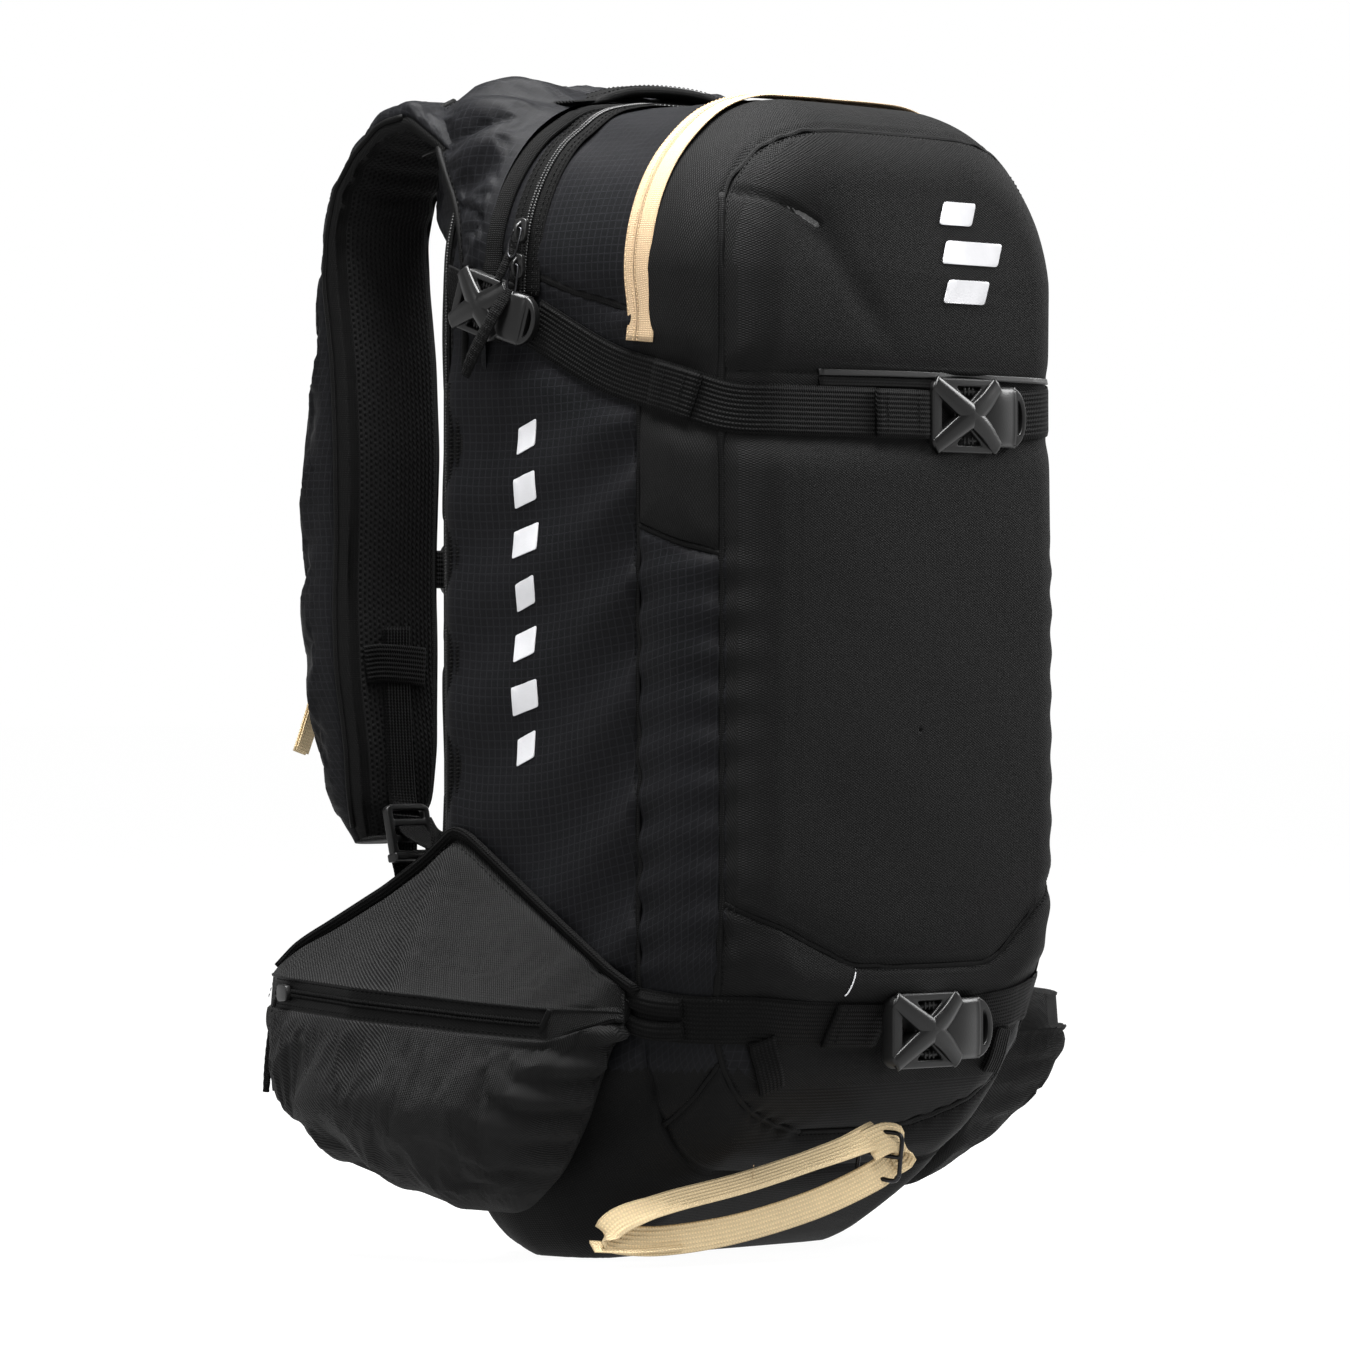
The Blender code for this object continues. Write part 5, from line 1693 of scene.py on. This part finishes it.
def build_fin(word, side):
    """A hip fin's cloth: wrinkled roof, zip band, gathered pouch, mesh inside, binding and zip."""
    rings = fin_rings(side)
    columns = rings.shape[1]
    flat = rings.reshape(-1, 3)
    y, z = flat[:, 1], flat[:, 2]
    column = np.tile(np.arange(columns), len(rings))
    roof = (column < 32) & (column > 2)
    pouch = (column > 46) & (column < 90)
    ridge = profile(FIN_RIDGE, y)
    drop = ridge - z
    warp = value_noise(flat * (side, 1, 1), 28.0, 41)
    tuck = np.exp(-np.clip((y + 0.096) / 0.030, 0, 9) ** 2)
    gathers = np.sin(drop * 2 * math.pi / 0.017 + 1.6 * warp + y * 25)
    lift = pouch * tuck * (0.0008 if side > 0 else 0.0034) * gathers
    folds = np.sin((y * 0.75 + z * 0.95) * 2 * math.pi / 0.055 + 2.2 * warp)
    lower = np.exp(-((z - 0.045) / 0.030) ** 2)
    lift += pouch * (0.0013 + 0.0026 * lower) * folds * (0.5 + 0.5 * warp)
    lift += roof * (0.0014 * value_noise(flat * (side, 1, 1), 24.0, 45)
                    + 0.0010 * tuck * np.sin(y * 240 + z * 130))
    lift += (roof | pouch) * 0.0004 * value_noise(flat * (side, 1, 1), 90.0, 47)
    shaped = pushed(rings, facing_out(rings, rings.mean(axis=1, keepdims=True)), lift)
    skin = grid(word + "_hip_fin", shaped, TWILL, True, None, True)
    for look in (BALLISTIC, SEALED, AIR_MESH):
        skin.data.materials.append(look)
    for polygon in skin.data.polygons:
        if len(polygon.vertices) > 4:
            continue
        first, wraps = grid_column(polygon, columns)
        if wraps or first > 92:
            polygon.material_index = 3
        elif 34 <= first <= 44 and shaped[min(polygon.vertices) // columns, 0, 1] > -0.080:
            polygon.material_index = 2
        elif first > 44:
            polygon.material_index = 0
    place = np.arange(columns)
    loose = plateau(columns, 46, 5.0, 90, 8.0)
    loose += 0.6 * np.clip((place - 4) / 5.0, 0, 1) * np.clip((31 - place) / 5.0, 0, 1)
    ends = plateau(len(rings), 0, 8.0, len(rings) - 1, 8.0)
    settle(skin, (ends[:, None] * loose[None]).ravel(), 2.0, 0.05, 0.006)
    parts = [skin]
    # the bound edge round the top of the fin
    top = np.asarray([(side * (FIN + 0.0015), y,
                       max(profile(FIN_HIGH, y), profile(FIN_RIDGE, y) + 0.006) + 0.0006)
                      for y in np.linspace(-0.112, 0.1315, 90)])
    top = np.concatenate([top, [top[-1] + (side * 0.004, 0.0015, -0.006),
                                top[-1] + (side * 0.009, 0.0010, -0.016)]])
    oval = round_section(1.0, 12) * (0.0050, 0.0026)
    parts.append(sweep("binding", curve_points(top[::3], 0.003), (side * 0.75, 0, 0.66), oval, BINDING))
    row = top + (side * 0.0052, 0, -0.0052)
    parts.append(stitches("row", row, (side * 0.6, 0, 0.8)))
    # zip coil and its stitching
    line = np.asarray([fin_point(side, y, 0.50) for y in np.linspace(0.120, -0.077, 70)])
    facing = np.asarray((side, 0, 0.12))
    for shift in (-0.0011, 0.0011):
        parts.append(beads("coil", line, facing, shift, 0.0010, 0.0016, TAPE))
    for share in (0.14, 0.86):
        row = np.asarray([fin_point(side, y, share) for y in np.linspace(0.122, -0.081, 60)])
        parts.append(stitches("row", row + facing * 0.0002, facing))
    end = fin_point(side, -0.0790, 0.5)
    bar = [end + (side * 0.0010, -0.004, 0.0075), end + (side * 0.0012, 0.0005, 0.0),
           end + (side * 0.0012, 0.0045, -0.0075)]
    parts.append(cord_piece("bartack", bar, 0.0016, THREAD, 0.001))
    piece = join(word + "_hip_fin", parts)
    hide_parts(word + "_hip_stabiliser", word + "_wing")
    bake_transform(piece)


def build_hips():
    """Both fins, their zip sliders with doubled pulls, the belt webbing and the belt's buckle halves."""
    for side, word in ((-1, "left"), (1, "right")):
        build_fin(word, side)
        place = fin_point(side, 0.1080, 0.5)
        run = Vector((side * 0.3714, -0.9285, 0.0))
        frame = basis(run, (0, 0, -1) if side < 0 else (0, 0, 1),
                      Vector(place) + Vector((side * 0.0022, 0, 0)))
        parts = slider_parts(word + "_pocket_slider", frame)
        start = frame @ Vector((-0.0142, 0, 0.0041))
        for k in (-1, 1):
            route = hung(start, [(0, 0, 0), (side * 0.001, 0.003, -0.012),
                                 (side * 0.0005, 0.006 + 0.0012 * k, -0.030),
                                 (side * 0.0002, 0.007 + 0.003 * k, -0.048 - 0.004 * k)])
            parts.append(braided_pull("pull", route, (0, 1, 0.2), 0.0048))
        put(join(word + "_pocket_slider", parts), word + "_pocket_slider", "plastic", word + "_pocket_slider")
        belt = [(side * 0.1480, 0.1150, 0.100), (side * 0.1460, 0.1304, 0.100),
                (side * 0.1440, 0.1370, 0.100), (side * 0.1400, 0.1405, 0.100),
                (side * 0.1345, 0.1390, 0.100), (side * 0.1320, 0.1320, 0.100),
                (side * 0.1300, 0.1100, 0.100), (side * 0.1300, 0.0960, 0.100)]
        put(webbing(word + "_belt_webbing", belt, (0, 0, 1), WEBBING, 0.038), word + "_wing", "webbing",
            word + "_belt_webbing")
    for side, word, node in ((-1, "left", "hip_buckle_male"), (1, "right", "hip_buckle_female")):
        low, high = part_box(node)
        middle = Vector([(low[i] + high[i]) / 2 for i in range(3)])
        length, width = high[1] - low[1], high[2] - low[2]
        female, male = buckle_parts(length, 0.016, width, 0.0078)
        if side < 0:
            half, other = male, female
            matrix = basis((0, 1, 0), (0, 0, 1), middle - Vector((0, length / 2 + 0.018, 0)))
        else:
            half, other = female, male
            matrix = basis((0, -1, 0), (0, 0, 1), middle + Vector((0, length / 2, 0)))
        bpy.data.objects.remove(other)
        transform(half, matrix).name = node
        put(half, word + "_wing", "plastic", node)


# ---------------------------------------------------------------- loops

def build_loops():
    """The carry loop on top, and the tan ski loop with its wire glide at the foot of the front."""
    y = centre_of("haul_loop", 1) - 0.004
    arch = [(-0.062, y, TOP + 0.0010), (-0.050, y, TOP + 0.0040), (-0.028, y, TOP + 0.0090),
            (0.0, y, TOP + 0.0105)]
    line = curve_points(arch + mirror_x(arch[:3])[::-1], 0.003)
    section = np.asarray([(boxy(math.cos(a), 0.6) * 0.0085, boxy(math.sin(a), 0.8) * 0.0030)
                          for a in np.linspace(0, 2 * math.pi, 24, endpoint=False)])
    share = np.linspace(0, 1, len(line))
    sizes = np.stack([np.interp(share, (0, 0.12, 0.88, 1), (end, 1.0, 1.0, end)) for end in (1.25, 0.4)],
                     axis=1)
    parts = [sweep("haul_loop", line, (0, 1, 0), section[None] * sizes[:, None], SLEEK)]
    for side in (-1, 1):
        parts.append(stitches("row", line + (0, side * 0.0062, 0.0030), (0, 0, 1)))
        ends = [(side * (0.060 + 0.004 * k), y, TOP + 0.0026 - 0.0004 * k) for k in range(5)]
        parts.append(webbing("anchor", ends, (0, 1, 0), WEBBING, 0.022))
    put(join("haul_loop", parts), "pack", "webbing", "haul_loop")

    hook = [(0.004, -0.150, 0.0640), (-0.016, -0.1530, 0.0600), (-0.034, -0.1460, 0.0540),
            (-0.075, -0.1290, 0.0420), (-0.108, -0.1090, 0.0330), (-0.128, -0.0950, 0.0250),
            (-0.1350, -0.0890, 0.0175), (-0.131, -0.0910, 0.0145), (-0.108, -0.1030, 0.0130),
            (-0.075, -0.1220, 0.0180), (-0.036, -0.1400, 0.0290), (-0.004, -0.1540, 0.0430),
            (0.006, -0.1560, 0.0500)]
    line = curve_points(hook, 0.002)
    share = np.linspace(0, 1, len(line))
    turn = np.interp(share, (0, 0.15, 0.42, 0.55, 0.72, 1.0), (0.9, 1.25, 1.15, 0.2, -0.15, 0.1))
    across = np.stack([0.30 * np.sin(turn), 0.93 * np.sin(turn), np.cos(turn) + 0.25], axis=1)
    upper = sweep("ski_loop", line, across, flat_section(0.0152, 0.0016), TAN_WEB)
    fold = [(0.006, -0.1560, 0.0500), (0.012, -0.1590, 0.0540), (0.010, -0.1600, 0.0600),
            (0.002, -0.1570, 0.0620), (-0.010, -0.1540, 0.0580)]
    second = webbing("fold", fold, (0.10, 0.45, 0.88), TAN_WEB, 0.017, 0.0016, 0.002)
    tail = [(-0.100, -0.1070, 0.0115), (-0.122, -0.0960, 0.0100), (-0.141, -0.0850, 0.0110)]
    third = webbing("tail", tail, (0.20, 0.90, 0.40), TAN_WEB, 0.012, 0.0014, 0.002)
    bar = hung(Vector((0, -0.0012, 0.0016)), [(-0.070, -0.1290, 0.0490), (-0.072, -0.1300, 0.0430),
                                              (-0.074, -0.1320, 0.0370)])
    row = stitches("bar", bar, (-0.5, -0.7, 0.5), TAN_THREAD, 0.0016)
    put(join("ski_loop", [upper, second, third, row]), "ski_loop", "tan", "ski_loop")
    glide = [(0.0015, -0.1650, 0.0400), (0.0045, -0.1650, 0.0640), (-0.002, -0.1430, 0.0660),
             (-0.004, -0.1420, 0.0430), (0.0015, -0.1650, 0.0400)]
    ring = [Vector(glide[i]).lerp(Vector(glide[i + 1]), k) for i in range(4) for k in (0.12, 0.5, 0.88)]
    wires = [cord_piece("ski_loop_glide", [*ring, ring[0]], 0.0012, WIRE, 0.001),
             cord_piece("bar", [(0.0030, -0.1650, 0.0520), (-0.0030, -0.1425, 0.0545)], 0.0012, WIRE, 0.001)]
    put(join("ski_loop_glide", wires), "ski_loop", "steel", "ski_loop_glide")


build_harness()
build_sternum()
build_back()
build_airbag()
build_hips()
build_loops()


# ---------------------------------------------------------------- seams, lips and small tabs

def sewn(piece, body):
    """Put a seam's detail on its body, or bake its placement where body is None."""
    if body:
        return put(piece, body, "webbing")
    return follow_flap(piece)


def seam_rows(body, name, lines, shift):
    """Rows of stitches beside seams; each line comes with the side that the row lies on."""
    parts = []
    for line, side in lines:
        row = worn.path(offset_path(line, bag_normal, side * shift), 0.0015, 0.0001)
        parts.append(stitches(name, row, bag_normal, None, 0.0030))
    return sewn(join(name, parts), body)


def ridge(name, body, width=0.0016):
    """The folded edge of cloth that stands along a seam."""
    path = smoothed(worn.path(seams[name], 0.003, 0.0002), 2)
    return sewn(on_bag("ridge_" + name, path, round_section(1.0, 10) * (width, 0.0009), SLEEK), body)


def flat_tab(name, points, width):
    """A short doubled end of webbing that lies on the bag."""
    section = flat_section(width, 0.0015)
    parts = [on_bag(name, laid(points, lift, 0.002), section, WEBBING) for lift in (0.0010, 0.0026)]
    return put(join(name, parts), "pack", "webbing")


def build_details():
    """Stitches and folded edges along the seams, the panel's lip, webbing tabs and bindings."""
    fixed = [(seams["gusset"], 1), (seams["gusset_right"], -1), (seams["rear"], 1), (seams["rear_right"], -1),
             (seams["bottom_edge"], -1), (seams["bottom_edge_right"], 1), (seams["chevron"], 1),
             (seams["bottom_cross"], 1), (seams["side_dart"], 1), (seams["side_dart_right"], -1)]
    seam_rows("pack", "seam_rows", fixed, 0.0024)
    seam_rows(None, "edge_rows", [(seams["front_edge"], -1), (seams["front_edge_right"], 1)], 0.0026)
    seam_rows("front_flap", "flap_rows", [(seams["arch"], 1)], 0.0024)

    for name in ("gusset", "gusset_right", "rear", "rear_right", "bottom_edge", "bottom_edge_right",
                 "chevron", "bottom_cross", "side_dart", "side_dart_right"):
        ridge(name, "pack")
    for name in ("front_edge", "front_edge_right"):
        ridge(name, None, 0.0021)
    ridge("arch", "front_flap")
    for name in ("overlap", "overlap_right"):
        ridge(name, "pack", 0.0022)

    # the coated lip over the top of the front panel, with a dark tape strip under its left part as painted
    # shadow
    lip = laid([(-0.072, -0.18, 0.4486), (0.0, -0.18, 0.4494), (0.06, -0.18, 0.4492),
                (0.116, -0.168, 0.4488)], 0.0010)
    bead = sweep("panel_lip", lip, (0, 0.2, 1), flat_section(0.0032, 0.0011), RUBBER)
    # painted shadow: a dark tape strip laid just under the lip, standing in for the shade below it
    shadow = lip[lip[:, 0] < 0.034] - (0, 0.0002, 0.0046)
    gap = sweep("gap", shadow, (0, 0.2, 1), flat_section(0.0048, 0.0008), TAPE)
    put(join("panel_lip", [bead, gap]), "pack", "plastic")
    rest = laid([(-0.120, -0.165, 0.4478), (-0.074, -0.18, 0.4478)], 0.0004)
    put(stitches("panel_row", rest, bag_normal), "pack", "webbing")

    # a short bright line in the reflective print's grey, laid on the front panel
    tick = laid([(-0.0455, -0.18, 0.1490), (-0.0492, -0.18, 0.1415), (-0.0530, -0.18, 0.1345)], 0.0003, 0.001)
    put(cord_piece("bright_tick_line", tick, 0.00035, PRINT, 0.001), "pack", "webbing")

    for name, points in (
            ("strap_tab_left",
             [(-0.0990, -0.165, 0.1130), (-0.0940, -0.166, 0.0990), (-0.0840, -0.167, 0.0830)]),
            ("strap_tab_right",
             [(0.0900, -0.165, 0.1130), (0.0880, -0.166, 0.1000), (0.0860, -0.164, 0.0880)])):
        flat_tab(name, points, 0.015)

    for side, word in ((-1, "left"), (1, "right")):
        bands = []
        for shift, drop in ((0.0, 0.0), (-0.0125, 0.001)):
            route = [(side * HALF, -0.086, 0.1460 + shift), (side * HALF, -0.100, 0.1385 + shift - drop),
                     (side * HALF, -0.116, 0.1330 + shift - drop), (side * 0.1340, -0.138, 0.1315 + shift)]
            bands.append(on_bag("band", laid(route, 0.0026), round_section(1.0, 12) * (0.0050, 0.0016),
                                BINDING))
        put(join(word + "_fin_tape", bands), "pack", "webbing")
        edge = np.asarray([(side * (HALF + 0.0014), BACK - 0.0065, z) for z in np.linspace(0.446, 0.205, 60)])
        facing = np.asarray((side, 0.0, 0.0))
        tape = sweep(word + "_back_binding", edge, (0, 1, 0), flat_section(0.0125, 0.0020), SEALED)
        coils = [beads("coil", edge, facing, shift, 0.0014, 0.0020, BINDING) for shift in (-0.0024, 0.0024)]
        put(join(word + "_back_binding", [tape, *coils]), "pack", "webbing")


build_details()


# ---------------------------------------------------------------- camera, light, floor

def build_studio():
    """A white floor and world, four lamps and the camera."""
    bpy.ops.mesh.primitive_plane_add(size=60, location=(0, 0, -0.001))
    floor = bpy.context.object
    floor.name = "floor"
    tree = Tree("floor_paper")
    tree.bump(tree.noise(30.0, 3.0), 0.0002)
    tree.shader.inputs["Emission Color"].default_value = (1.0, 1.0, 1.0, 1.0)
    tree.shader.inputs["Emission Strength"].default_value = 0.97
    floor.data.materials.append(tree.finish((0.10, 0.10, 0.10, 1.0), 0.9, 0.0, 0.0, 0.0))
    world = bpy.data.worlds.new("studio")
    world.use_nodes = True
    nodes, links = world.node_tree.nodes, world.node_tree.links
    split = nodes.new("ShaderNodeSeparateXYZ")
    links.new(nodes.new("ShaderNodeTexCoord").outputs["Generated"], split.inputs[0])
    fade = nodes.new("ShaderNodeMapRange")
    for socket, value in zip(fade.inputs[1:5], (0.12, 0.30, 1.0, 0.22)):
        socket.default_value = value
    links.new(split.outputs[2], fade.inputs[0])
    links.new(fade.outputs[0], nodes["Background"].inputs[1])
    nodes["Background"].inputs[0].default_value = (1.0, 1.0, 1.0, 1.0)
    bpy.context.scene.world = world
    for name, place, aim, size, power in (
            ("key", (-1.2, -1.8, 2.4), (0, 0, 0.35), 1.4, 60),
            ("top", (-0.2, -0.1, 2.4), (0, 0, 0.3), 1.5, 340),
            ("left", (-2.8, 1.4, 1.6), (0, 0, 0.3), 1.0, 12),
            ("rim", (2.2, -0.6, 1.4), (0, 0, 0.35), 0.9, 30)):
        light = bpy.data.lights.new(name, "AREA")
        light.energy = power
        light.size = size
        lamp = linked(name, light)
        lamp.location = place
        lamp.rotation_euler = (Vector(aim) - Vector(place)).to_track_quat("-Z", "Y").to_euler()
    camera = bpy.data.cameras.new("camera")
    camera.lens = 207
    camera.sensor_width = 36
    eye = linked("camera", camera)
    aim = Vector((-0.028, -0.039, 0.297))
    eye.location = (-3.000, -2.715, 0.297)
    eye.rotation_euler = (aim - eye.location).to_track_quat("-Z", "Y").to_euler()
    bpy.context.scene.camera = eye
    bpy.context.scene.view_settings.view_transform = "Standard"


build_studio()
